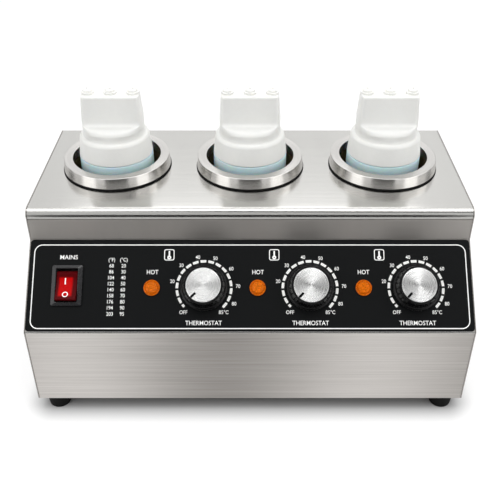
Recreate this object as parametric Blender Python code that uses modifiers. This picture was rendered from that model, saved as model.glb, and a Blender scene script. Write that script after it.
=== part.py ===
"""Counter-top topping warmer with three heated wells, squeeze bottles and a sloped control panel.

Sizes are in metres. X runs along the width, the front faces -Y and Z is up. The origin lies on the
counter under the middle of the whole warmer.
"""

import math

import bmesh
import bpy
from mathutils import Euler, Matrix, Vector

# Fits and fineness
GAP = 0.0003
OVERRUN = 0.003
WELD = 0.00001
ROUND_SEGMENTS = 24
SMALL_SEGMENTS = 16
TINY_SEGMENTS = 10
FOLD_STEPS = 3
SMOOTH_LIMIT = math.radians(35)
ROUND_SHARES = (0, 0.6, 1)

# Wells, by name from left to right, and the side of each heater's terminal box
WELL_NAMES = ("left", "middle", "right")
TERMINAL_SIDES = (1, 1, -1)

# Squeeze bottle and its cap
BOTTLE_RADIUS = 0.0333
BOTTLE_HEIGHT = 0.1569
BOTTLE_WALL = 0.0016
BOTTLE_FOOT_ROUND = 0.0030
NECK_LENGTH = 0.0140
NECK_CLEARANCE = 0.0004
CAP_WALL = 0.0016
SKIRT_PROUD = 0.0007
SKIRT_TAPER = 0.0018
SKIRT_HEIGHT = 0.0200
SKIRT_ROUND = 0.0045
CAP_SHOULDER = 0.0068
CAP_GROOVE = 0.0020
COLUMN_HEIGHT = 0.0040
BULGE_HEIGHT = 0.0070
SPOUT_HEIGHT = 0.0560
SPOUT_TAPER = 0.0015
CHISEL_FOOT_DEPTH = 0.0270
CHISEL_TOP_DEPTH = 0.0200
CHISEL_ROUND = 0.0018
NOZZLE_RADIUS = 0.0055
NOZZLE_STEP = 0.0018
NOZZLE_TIP_RADIUS = 0.0042
NOZZLE_HEIGHT = 0.0045
NOZZLE_BORE_RADIUS = 0.00125
NOZZLE_RIM = 0.0004
FLATTENING = 6

# Well: cup, collar and gasket
WELL_PITCH = 0.1225
WELL_CLEARANCE = 0.0067
WELL_DEPTH = 0.1425
CUP_WALL = 0.0010
CUP_FLANGE = 0.0045
CUP_CORNER = 0.0040
CUP_CLEARANCE = 0.0005
COLLAR_WIDTH = 0.0090
COLLAR_TAPER = 0.0012
COLLAR_HEIGHT = 0.0098
COLLAR_EASE = 0.0008
GASKET_THICKNESS = 0.0010
GASKET_PROUD = 0.0005

# Case of folded sheet
SHEET = 0.0010
SIDE_MARGIN = 0.0180
FRONT_MARGIN = 0.0318
BACK_MARGIN = 0.0247
FLOOR_ROOM = 0.0160
BROW_HEIGHT = 0.0293
PANEL_RUN = 0.0597
PANEL_RISE = 0.0537
BROW_RADIUS = 0.0070
FOLD_RADIUS = 0.0020
LID_DROP = 0.0077
REAR_DROP = 0.0115
LID_SEAM = 0.0006
SHELF_WIDTH = 0.0100
VENT_WIDTH = 0.0030
VENT_LENGTH = 0.0300
VENT_PITCH = 0.0080
VENT_COUNT = 7

# Rubber feet
FOOT_HEIGHT = 0.0140
FOOT_TOP_RADIUS = 0.0108
FOOT_TREAD_RADIUS = 0.0096
FOOT_INSET_X = 0.0159
FOOT_INSET_Y = 0.0112
STUD_RADIUS = 0.0020
STUD_LENGTH = 0.0060

# Printed overlay on the sloped panel
OVERLAY_THICKNESS = 0.0006
OVERLAY_SIDE_MARGIN = 0.0015
OVERLAY_FOOT_MARGIN = 0.0009
OVERLAY_HEAD_MARGIN = 0.0002
OVERLAY_CORNER = 0.0025

# Places of the controls, measured along the slope from its lower fold and from the overlay's ends
CONTROL_RISE = 0.0380
CONTROL_PITCH = 0.0900
LAST_DIAL_INSET = 0.0475
LAMP_OFFSET = 0.0445
SWITCH_INSET = 0.0330
SWITCH_RISE = 0.0400

# Thermostat with its shaft, bulb and capillary
THERMOSTAT_SIDE = 0.0360
THERMOSTAT_DEPTH = 0.0220
BUSH_RADIUS = 0.0050
SHAFT_RADIUS = 0.0030
SHAFT_SEAT = 0.0120
BULB_RADIUS = 0.0030
BULB_LENGTH = 0.0600
CAPILLARY_RADIUS = 0.0009
CAPILLARY_SLACK = 0.0120
BULB_NOSE_SHARE = 0.4

# Knob with its aluminium disc
KNOB_LIFT = 0.0006
KNOB_RADIUS = 0.0200
KNOB_SKIRT = 0.0030
KNOB_STEP_RADIUS = 0.0182
KNOB_TOP_RADIUS = 0.0164
KNOB_HEIGHT = 0.0135
KNOB_EASE = 0.0006
KNOB_BORE_DEPTH = 0.0100
DISC_RADIUS = 0.0150
DISC_THICKNESS = 0.0014
DISC_EASE = 0.0005
MARK_WIDTH = 0.0016
MARK_START_SHARE = 0.62
OFF_ANGLE = math.radians(226)

# Lamp
LENS_RADIUS = 0.0070
LENS_TOP_RADIUS = 0.0048
LENS_HEIGHT = 0.0026
LENS_RIM = 0.0008
LENS_WALL = 0.0010
BARREL_RADIUS = 0.0050
BARREL_LENGTH = 0.0120
LAMP_HOLDER_LENGTH = 0.0040

# Rocker switch
BEZEL_WIDTH = 0.0260
BEZEL_HEIGHT = 0.0350
BEZEL_THICKNESS = 0.0022
BEZEL_EASE = 0.0006
BEZEL_OVERHANG = 0.0022
SWITCH_DEPTH = 0.0220
SWITCH_SIDE_WALL = 0.0016
SWITCH_END_WALL = 0.0009
ROCKER_ROOM_DEPTH = 0.0100
ROCKER_END_ROOM = 0.0011
ROCKER_TILT = math.radians(8)
ROCKER_SINK = 0.0008
ROCKER_PIVOT_DEPTH = 0.0030
ROCKER_EDGE = 0.0036
ROCKER_BODY = 0.0050
ROCKER_WAIST_SHARE = 0.45

# Band heater
HEATER_THICKNESS = 0.0030
HEATER_HEIGHT = 0.0700
HEATER_LIFT = 0.0300
SPLIT_CLEARANCE = 0.0006
LUG_LENGTH = 0.0120
LUG_THICKNESS = 0.0020
CLAMP_RADIUS = 0.0020
CLAMP_HEAD = 0.0030
CLAMP_PLACE_SHARE = 0.65
TERMINAL_DEPTH = 0.0080
TERMINAL_WIDTH = 0.0140
TERMINAL_HEIGHT = 0.0120

# Mains inlet, terminal block and leads
INLET_WIDTH = 0.0310
INLET_HEIGHT = 0.0240
INLET_FLANGE = 0.0018
INLET_RIM = 0.0022
INLET_WALL = 0.0013
INLET_DEPTH = 0.0190
INLET_BACK = 0.0030
INLET_LIFT = 0.0240
PIN_WIDTH = 0.0020
PIN_HEIGHT = 0.0040
PIN_LENGTH = 0.0100
PIN_PLACE_SHARES = ((-0.29, -0.12), (0.29, -0.12), (0, 0.18))
BLOCK_WIDTH = 0.0180
BLOCK_LENGTH = 0.0500
BLOCK_HEIGHT = 0.0160
BLOCK_SCREW_RADIUS = 0.0022
BLOCK_SCREW_DEPTH = 0.0030
BLOCK_WAY_SHARES = (-0.3, 0, 0.3)
BLOCK_SIDE_SHARE = 0.25
LEAD_RADIUS = 0.0016
INLET_LEAD_RADIUS = 0.0030
ROUTE_STEPS = 5

# Rear screws of the top cover
SCREW_HEAD_RADIUS = 0.0035
SCREW_HEAD = 0.0022
SCREW_RADIUS = 0.0016
SCREW_LENGTH = 0.0080
SCREW_SLOT = 0.0008
SCREW_PLACE_SHARE = 0.7

# Worked out: bottle, cap and well
WELL_COUNT = len(WELL_NAMES)
SKIRT_RADIUS = BOTTLE_RADIUS + SKIRT_PROUD
SKIRT_TOP_RADIUS = SKIRT_RADIUS - SKIRT_TAPER
SKIRT_BORE = SKIRT_TOP_RADIUS - CAP_WALL
NECK_RADIUS = SKIRT_BORE - NECK_CLEARANCE
SPOUT_RADIUS = SKIRT_RADIUS - CAP_SHOULDER
SPOUT_TOP_RADIUS = SPOUT_RADIUS - SPOUT_TAPER
CHISEL_FOOT = SKIRT_HEIGHT + CAP_GROOVE + COLUMN_HEIGHT + BULGE_HEIGHT
WELL_BORE = BOTTLE_RADIUS + WELL_CLEARANCE
CUP_RADIUS = WELL_BORE + CUP_WALL
LID_HOLE = CUP_RADIUS + CUP_CLEARANCE
COLLAR_RADIUS = WELL_BORE + COLLAR_WIDTH
GASKET_RADIUS = COLLAR_RADIUS + GASKET_PROUD
GASKET_TOP = GAP + GASKET_THICKNESS
FLANGE_RADIUS = CUP_RADIUS + CUP_FLANGE
FLANGE_BASE = GASKET_TOP + GAP
FLANGE_TOP = FLANGE_BASE + CUP_WALL
CUP_BASE = -WELL_DEPTH - CUP_WALL
HEATER_BORE = CUP_RADIUS + GAP
HEATER_RADIUS = HEATER_BORE + HEATER_THICKNESS
HEATER_BASE = CUP_BASE + HEATER_LIFT
SPLIT = 2 * (BULB_RADIUS + SPLIT_CLEARANCE)

# Worked out: case, from the wells that it holds
CASE_WIDTH = (WELL_COUNT - 1) * WELL_PITCH + 2 * (GASKET_RADIUS + SIDE_MARGIN)
INNER_WIDTH = CASE_WIDTH - 2 * (SHEET + GAP)
TOP_DEPTH = FRONT_MARGIN + 2 * GASKET_RADIUS + BACK_MARGIN
CASE_DEPTH = PANEL_RUN + TOP_DEPTH
REAR_PROUD = GAP + SCREW_HEAD
FRONT_Y = -(CASE_DEPTH + REAR_PROUD) / 2
BACK_Y = FRONT_Y + CASE_DEPTH
BROW_Y = FRONT_Y + PANEL_RUN
WELL_Y = BROW_Y + FRONT_MARGIN + GASKET_RADIUS
REAR_PANEL_Y = BACK_Y - SHEET - GAP - SHEET / 2
BASE_TOP = FOOT_HEIGHT + SHEET
TOP_Z = BASE_TOP + FLOOR_ROOM + CUP_WALL + WELL_DEPTH
BROW_Z = TOP_Z - BROW_HEIGHT
FOLD_Z = BROW_Z - PANEL_RISE
SEAM_Z = TOP_Z - LID_DROP - LID_SEAM

# Worked out: sloped panel, whose own frame has X along the fold, Y up the slope and Z outwards
PANEL_ANGLE = math.atan2(PANEL_RISE, PANEL_RUN)
PANEL_LENGTH = math.hypot(PANEL_RISE, PANEL_RUN)
PANEL_MATRIX = Matrix.Translation((0, FRONT_Y, FOLD_Z)) @ Matrix.Rotation(PANEL_ANGLE, 4, "X")
OVERLAY_TOP = GAP + OVERLAY_THICKNESS
OVERLAY_WIDTH = CASE_WIDTH - 2 * OVERLAY_SIDE_MARGIN
INNER_FACE = -SHEET - GAP
LAST_DIAL = OVERLAY_WIDTH / 2 - LAST_DIAL_INSET
DIAL_PLACES = [LAST_DIAL - CONTROL_PITCH * back for back in reversed(range(WELL_COUNT))]
LAMP_PLACES = [place - LAMP_OFFSET for place in DIAL_PLACES]
SWITCH_PLACE = SWITCH_INSET - OVERLAY_WIDTH / 2
SWITCH_BODY_WIDTH = BEZEL_WIDTH - 2 * BEZEL_OVERHANG
SWITCH_BODY_HEIGHT = BEZEL_HEIGHT - 2 * BEZEL_OVERHANG
BEZEL_TOP = OVERLAY_TOP + GAP + BEZEL_THICKNESS
ROCKER_SPACE = (SWITCH_BODY_WIDTH - 2 * SWITCH_SIDE_WALL, SWITCH_BODY_HEIGHT - 2 * SWITCH_END_WALL)
ROCKER_WIDTH = ROCKER_SPACE[0] - 2 * GAP
ROCKER_REACH = ROCKER_SPACE[1] / 2 - ROCKER_END_ROOM
KNOB_BASE = OVERLAY_TOP + KNOB_LIFT
THERMOSTAT_BACK = INNER_FACE - THERMOSTAT_DEPTH

# Worked out: electrics on the base and the rear panel
BLOCK_X = WELL_PITCH / 2
BLOCK_TOP = BASE_TOP + GAP + BLOCK_HEIGHT
INLET_Z = BASE_TOP + INLET_LIFT
INLET_HOLE = (INLET_WIDTH - 2 * INLET_RIM, INLET_HEIGHT - 2 * INLET_RIM)
INLET_FACE_Y = REAR_PANEL_Y + SHEET / 2 + GAP
LEAD_LANE_Z = BASE_TOP + FLOOR_ROOM / 2
SCREW_X = INNER_WIDTH / 2 * SCREW_PLACE_SHARE
SCREW_Z = TOP_Z - REAR_DROP / 2

WELL_PLACES = [(index - (WELL_COUNT - 1) / 2) * WELL_PITCH for index in range(WELL_COUNT)]
FACING_X = Euler((math.pi / 2, 0, math.pi / 2)).to_matrix().to_4x4()
FACING_Y = Matrix.Rotation(math.pi / 2, 4, "X")


def clear_scene():
    """Removes what the scene holds."""
    for obj in list(bpy.data.objects):
        bpy.data.objects.remove(obj)


def new_collection(name):
    """A collection in the scene."""
    collection = bpy.data.collections.new(name)
    bpy.context.scene.collection.children.link(collection)
    return collection


def linear(channel):
    """One sRGB channel as linear light."""
    return channel / 12.92 if channel <= 0.04045 else ((channel + 0.055) / 1.055) ** 2.4


def material(name, colour, metallic, roughness):
    """A Principled material of a six-digit sRGB colour."""
    made = bpy.data.materials.new(name)
    made.use_nodes = True
    shader = made.node_tree.nodes["Principled BSDF"]
    channels = [int(colour[at : at + 2], 16) / 255 for at in (0, 2, 4)]
    shader.inputs["Base Color"].default_value = (*map(linear, channels), 1)
    shader.inputs["Metallic"].default_value = metallic
    shader.inputs["Roughness"].default_value = roughness
    return made


def add(name, data, look, parent=None, location=(0, 0, 0), rotation=(0, 0, 0)):
    """A named piece of the warmer, with one material."""
    obj = bpy.data.objects.new(name, data)
    bpy.data.collections["topping_warmer"].objects.link(obj)
    obj.parent = parent
    obj.location = location
    obj.rotation_euler = rotation
    data.materials.clear()
    data.materials.append(look)
    return obj


def add_empty(name, parent=None, location=(0, 0, 0), rotation=(0, 0, 0)):
    """An empty that carries pieces by a shared frame or joint axis."""
    obj = bpy.data.objects.new(name, None)
    bpy.data.collections["topping_warmer"].objects.link(obj)
    obj.parent = parent
    obj.location = location
    obj.rotation_euler = rotation
    return obj


def helper(data):
    """An object for shaping only, which never renders."""
    obj = bpy.data.objects.new("helper", data)
    bpy.data.collections["shaping_helpers"].objects.link(obj)
    obj.hide_render = True
    obj.display_type = "WIRE"
    return obj


def realized(obj, others=()):
    """The mesh that a helper's curve or modifiers make. The helper and the others are removed."""
    graph = bpy.context.evaluated_depsgraph_get()
    mesh = bpy.data.meshes.new_from_object(obj.evaluated_get(graph))
    shape = bmesh.new()
    shape.from_mesh(mesh)
    bmesh.ops.remove_doubles(shape, verts=shape.verts, dist=WELD)
    shape.to_mesh(mesh)
    shape.free()
    for used in (obj, *others):
        bpy.data.objects.remove(used)
    return mesh


def new_mesh(shape):
    """A mesh from a bmesh, which is freed."""
    mesh = bpy.data.meshes.new("shape")
    shape.to_mesh(mesh)
    shape.free()
    return mesh


def smooth(mesh):
    """Smooth shading with sharp edges kept."""
    mesh.shade_smooth()
    mesh.set_sharp_from_angle(angle=SMOOTH_LIMIT)
    return mesh


def carved(mesh, joins=(), cuts=()):
    """The mesh with other meshes joined on, then others cut away, all in one frame."""
    body = helper(mesh)
    tools = []
    for operation, group in (("UNION", joins), ("DIFFERENCE", cuts)):
        for other in group:
            tools.append(helper(other))
            step = body.modifiers.new(operation, "BOOLEAN")
            step.operation = operation
            step.object = tools[-1]
    return realized(body, tools)


def moved(mesh, matrix):
    """The mesh carried by a matrix."""
    mesh.transform(matrix)
    return mesh


def box(size, centre=(0, 0, 0)):
    """A box of full sizes."""
    shape = bmesh.new()
    matrix = Matrix.Translation(centre) @ Matrix.Diagonal((*size, 1))
    bmesh.ops.create_cube(shape, size=1, matrix=matrix)
    return new_mesh(shape)


def eased_box(size, centre, ease):
    """A box with chamfered edges."""
    shape = bmesh.new()
    shape.from_mesh(box(size, centre))
    bmesh.ops.bevel(shape, geom=shape.edges[:], offset=ease, segments=1, affect="EDGES")
    return new_mesh(shape)


def rod(radius, low, high, segments=SMALL_SEGMENTS):
    """A cylinder about Z between two heights."""
    shape = bmesh.new()
    matrix = Matrix.Translation((0, 0, (low + high) / 2))
    bmesh.ops.create_cone(
        shape,
        cap_ends=True,
        segments=segments,
        radius1=radius,
        radius2=radius,
        depth=high - low,
        matrix=matrix,
    )
    return new_mesh(shape)


def turned(profile, segments=ROUND_SEGMENTS, ring=False):
    """A mesh turned about Z from (radius, height) points that run down its outer side."""
    last = len(profile) - 1
    edges = [(index, index + 1) for index in range(last)]
    if ring:
        edges.append((last, 0))
    mesh = bpy.data.meshes.new("profile")
    mesh.from_pydata([(radius, 0, height) for radius, height in profile], edges, [])
    obj = helper(mesh)
    screw = obj.modifiers.new("turn", "SCREW")
    screw.steps = segments
    screw.render_steps = segments
    screw.use_merge_vertices = True
    screw.merge_threshold = WELD
    return smooth(realized(obj))


def plate(loops, thickness, matrix=None):
    """A flat plate from an outline and its holes, centred on its thickness."""
    curve = bpy.data.curves.new("outline", "CURVE")
    curve.dimensions = "2D"
    curve.fill_mode = "BOTH"
    curve.extrude = thickness / 2
    for loop in loops:
        spline = curve.splines.new("POLY")
        spline.points.add(len(loop) - 1)
        for point, (x, y) in zip(spline.points, loop):
            point.co = (x, y, 0, 1)
        spline.use_cyclic_u = True
    mesh = realized(helper(curve))
    return moved(mesh, matrix) if matrix else mesh


def tube(points, radius, swell=()):
    """A tube along points. The last points can swell, by a share of the radius each."""
    curve = bpy.data.curves.new("route", "CURVE")
    curve.dimensions = "3D"
    curve.bevel_depth = radius
    curve.bevel_resolution = 1
    curve.use_fill_caps = True
    spline = curve.splines.new("POLY")
    spline.points.add(len(points) - 1)
    for point, place in zip(spline.points, points):
        point.co = (*place, 1)
    for point, share in zip(reversed(spline.points), reversed(swell)):
        point.radius = share
    return smooth(realized(helper(curve)))


def smooth_route(places):
    """Points on a smooth curve that passes through every place."""
    padded = [2 * places[0] - places[1], *places, 2 * places[-1] - places[-2]]
    route = []
    for a, b, c, d in zip(padded, padded[1:], padded[2:], padded[3:]):
        stretch = (c - b).length
        leave, arrive = (c - a).normalized() * stretch, (d - b).normalized() * stretch
        for step in range(ROUTE_STEPS):
            t = step / ROUTE_STEPS
            ease = t * t * (3 - 2 * t)
            route.append(b.lerp(c, ease) + leave * t * (1 - t) ** 2 - arrive * t * t * (1 - t))
    return [*route, places[-1]]


def rounded(corners, closed=False):
    """Points of a flat path through (x, y, radius) corners, each radius made an arc."""
    points = []
    for index, (x, y, radius) in enumerate(corners):
        inner = closed or 0 < index < len(corners) - 1
        if not radius or not inner:
            points.append((x, y))
            continue
        corner = Vector((x, y))
        back = (Vector(corners[index - 1][:2]) - corner).normalized()
        ahead = (Vector(corners[(index + 1) % len(corners)][:2]) - corner).normalized()
        half = back.angle(ahead) / 2
        centre = corner + (back + ahead).normalized() * radius / math.sin(half)
        arm = corner + back * radius / math.tan(half) - centre
        sweep = math.copysign(math.pi - 2 * half, ahead.cross(back))
        for step in range(FOLD_STEPS + 1):
            turn = Matrix.Rotation(sweep * step / FOLD_STEPS, 2)
            points.append(tuple(centre + turn @ arm))
    return points


def circle(radius, x=0, y=0, segments=SMALL_SEGMENTS):
    """Points round a circle."""
    turns = [2 * math.pi * index / segments for index in range(segments)]
    return [(x + radius * math.cos(turn), y + radius * math.sin(turn)) for turn in turns]


def rectangle(width, height, x=0, y=0, corner=0):
    """Points round a rectangle, with rounded corners if a radius is given."""
    signs = ((-1, -1), (1, -1), (1, 1), (-1, 1))
    corners = [(x + a * width / 2, y + b * height / 2, corner) for a, b in signs]
    return rounded(corners, closed=True)


def sheet(path):
    """Folded sheet from a (y, z) path of its outer face, as wide as the case's inside."""
    shape = bmesh.new()
    rows = []
    for y, z in path:
        rows.append([shape.verts.new((side * INNER_WIDTH / 2, y, z)) for side in (-1, 1)])
    for (a, b), (c, d) in zip(rows, rows[1:]):
        shape.faces.new((a, b, d, c))
    obj = helper(new_mesh(shape))
    skin = obj.modifiers.new("thickness", "SOLIDIFY")
    skin.thickness = SHEET
    skin.offset = -1
    skin.use_even_offset = True
    return realized(obj)


def loft(rings):
    """A closed mesh over rings of as many points each, the lowest first."""
    shape = bmesh.new()
    rows = [[shape.verts.new(place) for place in ring] for ring in rings]
    for low, high in zip(rows, rows[1:]):
        for index, corner in enumerate(low):
            shape.faces.new((low[index - 1], corner, high[index], high[index - 1]))
    shape.faces.new(reversed(rows[0]))
    shape.faces.new(rows[-1])
    return new_mesh(shape)


def level_ring(radius, height, half_depth=None):
    """A level circle of points, pressed flat in front and behind if a half depth is given."""
    fullness = (radius / half_depth) ** FLATTENING - 1 if half_depth else 0
    ring = []
    for x, y in circle(radius, segments=ROUND_SEGMENTS):
        press = (1 + fullness * abs(y / radius) ** FLATTENING) ** (1 / FLATTENING)
        ring.append((x, y / press, height))
    return ring


def panel_cutters(clearance):
    """Cutters for the holes of the shafts, the lamps and the switch, in the panel's frame."""
    low, high = -SHEET - OVERRUN, OVERLAY_TOP + OVERRUN
    cutters = []
    for radius, places in ((BUSH_RADIUS, DIAL_PLACES), (BARREL_RADIUS, LAMP_PLACES)):
        for place in places:
            hole = rod(radius + clearance, low, high)
            cutters.append(moved(hole, Matrix.Translation((place, CONTROL_RISE, 0))))
    size = (SWITCH_BODY_WIDTH + 2 * clearance, SWITCH_BODY_HEIGHT + 2 * clearance, high - low)
    cutters.append(box(size, (SWITCH_PLACE, SWITCH_RISE, (low + high) / 2)))
    return cutters


def vent_row(centre_x, centre_y):
    """Slots side by side along X."""
    first = centre_x - VENT_PITCH * (VENT_COUNT - 1) / 2
    places = [first + VENT_PITCH * index for index in range(VENT_COUNT)]
    return [rectangle(VENT_WIDTH, VENT_LENGTH, place, centre_y) for place in places]


def build_top_cover(looks):
    """Lid: flat top, rounded brow fold in front and a short flange at the front and the back."""
    path = rounded(
        (
            (BROW_Y, TOP_Z - LID_DROP, 0),
            (BROW_Y, TOP_Z, BROW_RADIUS),
            (BACK_Y, TOP_Z, FOLD_RADIUS),
            (BACK_Y, TOP_Z - REAR_DROP, 0),
        )
    )
    cuts = []
    for place in WELL_PLACES:
        hole = rod(LID_HOLE, TOP_Z - SHEET - OVERRUN, TOP_Z + OVERRUN, ROUND_SEGMENTS)
        cuts.append(moved(hole, Matrix.Translation((place, WELL_Y, 0))))
    cuts += screw_cutters()
    add("top_cover", carved(sheet(path), cuts=cuts), looks["steel"])


def build_front_wrap(looks):
    """Wrap: shelf under the lid, brow, sloped panel and upright lower plate in one sheet."""
    path = rounded(
        (
            (FRONT_Y, FOOT_HEIGHT, 0),
            (FRONT_Y, FOLD_Z, FOLD_RADIUS),
            (BROW_Y, BROW_Z, FOLD_RADIUS),
            (BROW_Y, SEAM_Z, FOLD_RADIUS),
            (BROW_Y + SHELF_WIDTH, SEAM_Z, 0),
        )
    )
    cuts = [moved(cutter, PANEL_MATRIX) for cutter in panel_cutters(GAP)]
    add("front_wrap", carved(sheet(path), cuts=cuts), looks["steel"])


def build_side_panels(looks):
    """Two flat sides that follow the folds of the lid and the wrap."""
    outline = rounded(
        (
            (FRONT_Y, FOOT_HEIGHT, 0),
            (FRONT_Y, FOLD_Z, FOLD_RADIUS),
            (BROW_Y, BROW_Z, FOLD_RADIUS),
            (BROW_Y, TOP_Z, BROW_RADIUS),
            (BACK_Y, TOP_Z, FOLD_RADIUS),
            (BACK_Y, FOOT_HEIGHT, 0),
        ),
        closed=True,
    )
    mesh = plate([outline], SHEET, FACING_X)
    reach = (CASE_WIDTH - SHEET) / 2
    add("side_panel_left", mesh, looks["steel"], location=(-reach, 0, 0))
    add("side_panel_right", mesh, looks["steel"], location=(reach, 0, 0))


def build_rear_panel(looks):
    """Flat rear panel with a row of vents, the inlet's cut-out and two screw holes."""
    top = TOP_Z - FOLD_RADIUS - GAP
    middle = (top + FOOT_HEIGHT) / 2
    loops = [
        rectangle(INNER_WIDTH, top - FOOT_HEIGHT, 0, middle),
        rectangle(INLET_HOLE[0] + 2 * GAP, INLET_HOLE[1] + 2 * GAP, BLOCK_X, INLET_Z),
        *vent_row(-WELL_PITCH / 2, middle),
        *vent_row(WELL_PITCH, middle),
    ]
    for side in (-1, 1):
        loops.append(circle(SCREW_RADIUS + GAP, side * SCREW_X, SCREW_Z, TINY_SEGMENTS))
    add("rear_panel", plate(loops, SHEET, FACING_Y), looks["steel"], location=(0, REAR_PANEL_Y, 0))


def foot_places():
    """Name and place of each foot."""
    across = CASE_WIDTH / 2 - FOOT_INSET_X
    rows = (("front", FRONT_Y + FOOT_INSET_Y), ("rear", BACK_Y - FOOT_INSET_Y))
    sides = (("left", -across), ("right", across))
    return [(f"{row}_{side}", x, y) for row, y in rows for side, x in sides]


def build_base_plate(looks):
    """Flat base between the walls, with vents under the wells and a hole for each foot's stud."""
    front = FRONT_Y + SHEET + GAP
    back = REAR_PANEL_Y - SHEET / 2 - GAP
    loops = [rectangle(INNER_WIDTH, back - front, 0, (front + back) / 2)]
    for place in WELL_PLACES:
        loops += vent_row(place, BROW_Y)
    for _, x, y in foot_places():
        loops.append(circle(STUD_RADIUS + GAP, x, y, TINY_SEGMENTS))
    height = FOOT_HEIGHT + SHEET / 2
    add("base_plate", plate(loops, SHEET), looks["steel"], location=(0, 0, height))


def build_feet(looks):
    """Four rubber feet, each moulded round a stud that passes through the base."""
    seat = FOOT_HEIGHT - GAP
    mesh = turned(
        (
            (0, seat + STUD_LENGTH),
            (STUD_RADIUS, seat + STUD_LENGTH),
            (STUD_RADIUS, seat),
            (FOOT_TOP_RADIUS, seat),
            (FOOT_TREAD_RADIUS, 0),
            (0, 0),
        ),
        SMALL_SEGMENTS,
    )
    for name, x, y in foot_places():
        add(f"foot_{name}", mesh, looks["rubber"], location=(x, y, 0))


def screw_cutters():
    """Cutters for the two screw holes in the lid's rear flange."""
    cutters = []
    for side in (-1, 1):
        place = Matrix.Translation((side * SCREW_X, BACK_Y, SCREW_Z)) @ FACING_Y
        hole = rod(SCREW_RADIUS + GAP, -OVERRUN, OVERRUN, TINY_SEGMENTS)
        cutters.append(moved(hole, place))
    return cutters


def build_rear_screws(looks):
    """Two slotted screws that hold the lid's rear flange to the rear panel."""
    mesh = turned(
        (
            (0, SCREW_HEAD),
            (SCREW_HEAD_RADIUS - SCREW_SLOT, SCREW_HEAD),
            (SCREW_HEAD_RADIUS, SCREW_HEAD - SCREW_SLOT),
            (SCREW_HEAD_RADIUS, 0),
            (SCREW_RADIUS, 0),
            (SCREW_RADIUS, -SCREW_LENGTH),
            (0, -SCREW_LENGTH),
        ),
        TINY_SEGMENTS,
    )
    slot = box((2 * SCREW_HEAD_RADIUS + OVERRUN, SCREW_SLOT, 2 * SCREW_SLOT), (0, 0, SCREW_HEAD))
    mesh = carved(mesh, cuts=[slot])
    for name, side in (("left", -1), ("right", 1)):
        place = (side * SCREW_X, BACK_Y + GAP, SCREW_Z)
        add(f"rear_screw_{name}", mesh, looks["steel"], None, place, (-math.pi / 2, 0, 0))


def build_overlay(looks, panel):
    """Thin printed overlay with a hole for each control."""
    length = PANEL_LENGTH - OVERLAY_FOOT_MARGIN - OVERLAY_HEAD_MARGIN
    middle_rise = OVERLAY_FOOT_MARGIN + length / 2
    outline = rectangle(OVERLAY_WIDTH, length, 0, middle_rise, OVERLAY_CORNER)
    loops = [outline]
    for radius, places in ((BUSH_RADIUS, DIAL_PLACES), (BARREL_RADIUS, LAMP_PLACES)):
        loops += [circle(radius + GAP, place, CONTROL_RISE) for place in places]
    width, height = SWITCH_BODY_WIDTH + 2 * GAP, SWITCH_BODY_HEIGHT + 2 * GAP
    loops.append(rectangle(width, height, SWITCH_PLACE, SWITCH_RISE))
    mesh = plate(loops, OVERLAY_THICKNESS)
    middle = GAP + OVERLAY_THICKNESS / 2
    add("control_overlay", mesh, looks["overlay"], panel, (0, 0, middle))


def thermostat_mesh():
    """Thermostat body behind the panel, with its bush through the panel and a bore for the shaft."""
    side = THERMOSTAT_SIDE
    body = box((side, side, THERMOSTAT_DEPTH), (0, 0, INNER_FACE - THERMOSTAT_DEPTH / 2))
    bush = rod(BUSH_RADIUS, INNER_FACE - OVERRUN, OVERLAY_TOP)
    bore = rod(SHAFT_RADIUS + GAP, INNER_FACE - SHAFT_SEAT, OVERLAY_TOP + OVERRUN)
    return carved(body, joins=[bush], cuts=[bore])


def knob_mesh():
    """Black knob: wide skirt, stepped grip, a seat for the disc and a bore for the shaft."""
    top = KNOB_BASE + KNOB_HEIGHT
    seat = top - DISC_THICKNESS - GAP
    bore = SHAFT_RADIUS + GAP
    return turned(
        (
            (0, seat),
            (DISC_RADIUS + GAP, seat),
            (DISC_RADIUS + GAP, top),
            (KNOB_TOP_RADIUS - KNOB_EASE, top),
            (KNOB_TOP_RADIUS, top - KNOB_EASE),
            (KNOB_STEP_RADIUS, KNOB_BASE + KNOB_SKIRT),
            (KNOB_RADIUS, KNOB_BASE + KNOB_SKIRT - KNOB_EASE),
            (KNOB_RADIUS, KNOB_BASE),
            (bore, KNOB_BASE),
            (bore, KNOB_BASE + KNOB_BORE_DEPTH),
            (0, KNOB_BASE + KNOB_BORE_DEPTH),
        )
    )


def disc_mesh():
    """Aluminium disc in the knob's top, with the pointer as a notch from its rim."""
    top = KNOB_BASE + KNOB_HEIGHT
    disc = turned(
        (
            (0, top),
            (DISC_RADIUS - DISC_EASE, top),
            (DISC_RADIUS, top - DISC_EASE),
            (DISC_RADIUS, top - DISC_THICKNESS),
            (0, top - DISC_THICKNESS),
        )
    )
    start = DISC_RADIUS * MARK_START_SHARE
    end = DISC_RADIUS + OVERRUN
    notch = box((end - start, MARK_WIDTH, 2 * OVERRUN), ((start + end) / 2, 0, top))
    return carved(disc, cuts=[moved(notch, Matrix.Rotation(OFF_ANGLE, 4, "Z"))])


def build_dials(looks, panel):
    """Thermostat, shaft, knob and disc of each dial, all on one axis."""
    shaft_low = INNER_FACE - SHAFT_SEAT + GAP
    shaft_high = KNOB_BASE + KNOB_BORE_DEPTH - GAP
    thermostat, knob, disc = thermostat_mesh(), knob_mesh(), disc_mesh()
    shaft = smooth(rod(SHAFT_RADIUS, shaft_low, shaft_high))
    for name, place in zip(WELL_NAMES, DIAL_PLACES):
        axis = add_empty(f"dial_axis_{name}", panel, (place, CONTROL_RISE, 0))
        add(f"thermostat_body_{name}", thermostat, looks["moulding"], axis)
        add(f"control_shaft_{name}", shaft, looks["bare_metal"], axis)
        add(f"knob_{name}", knob, looks["knob"], axis)
        add(f"knob_disc_{name}", disc, looks["aluminium"], axis)


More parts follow.
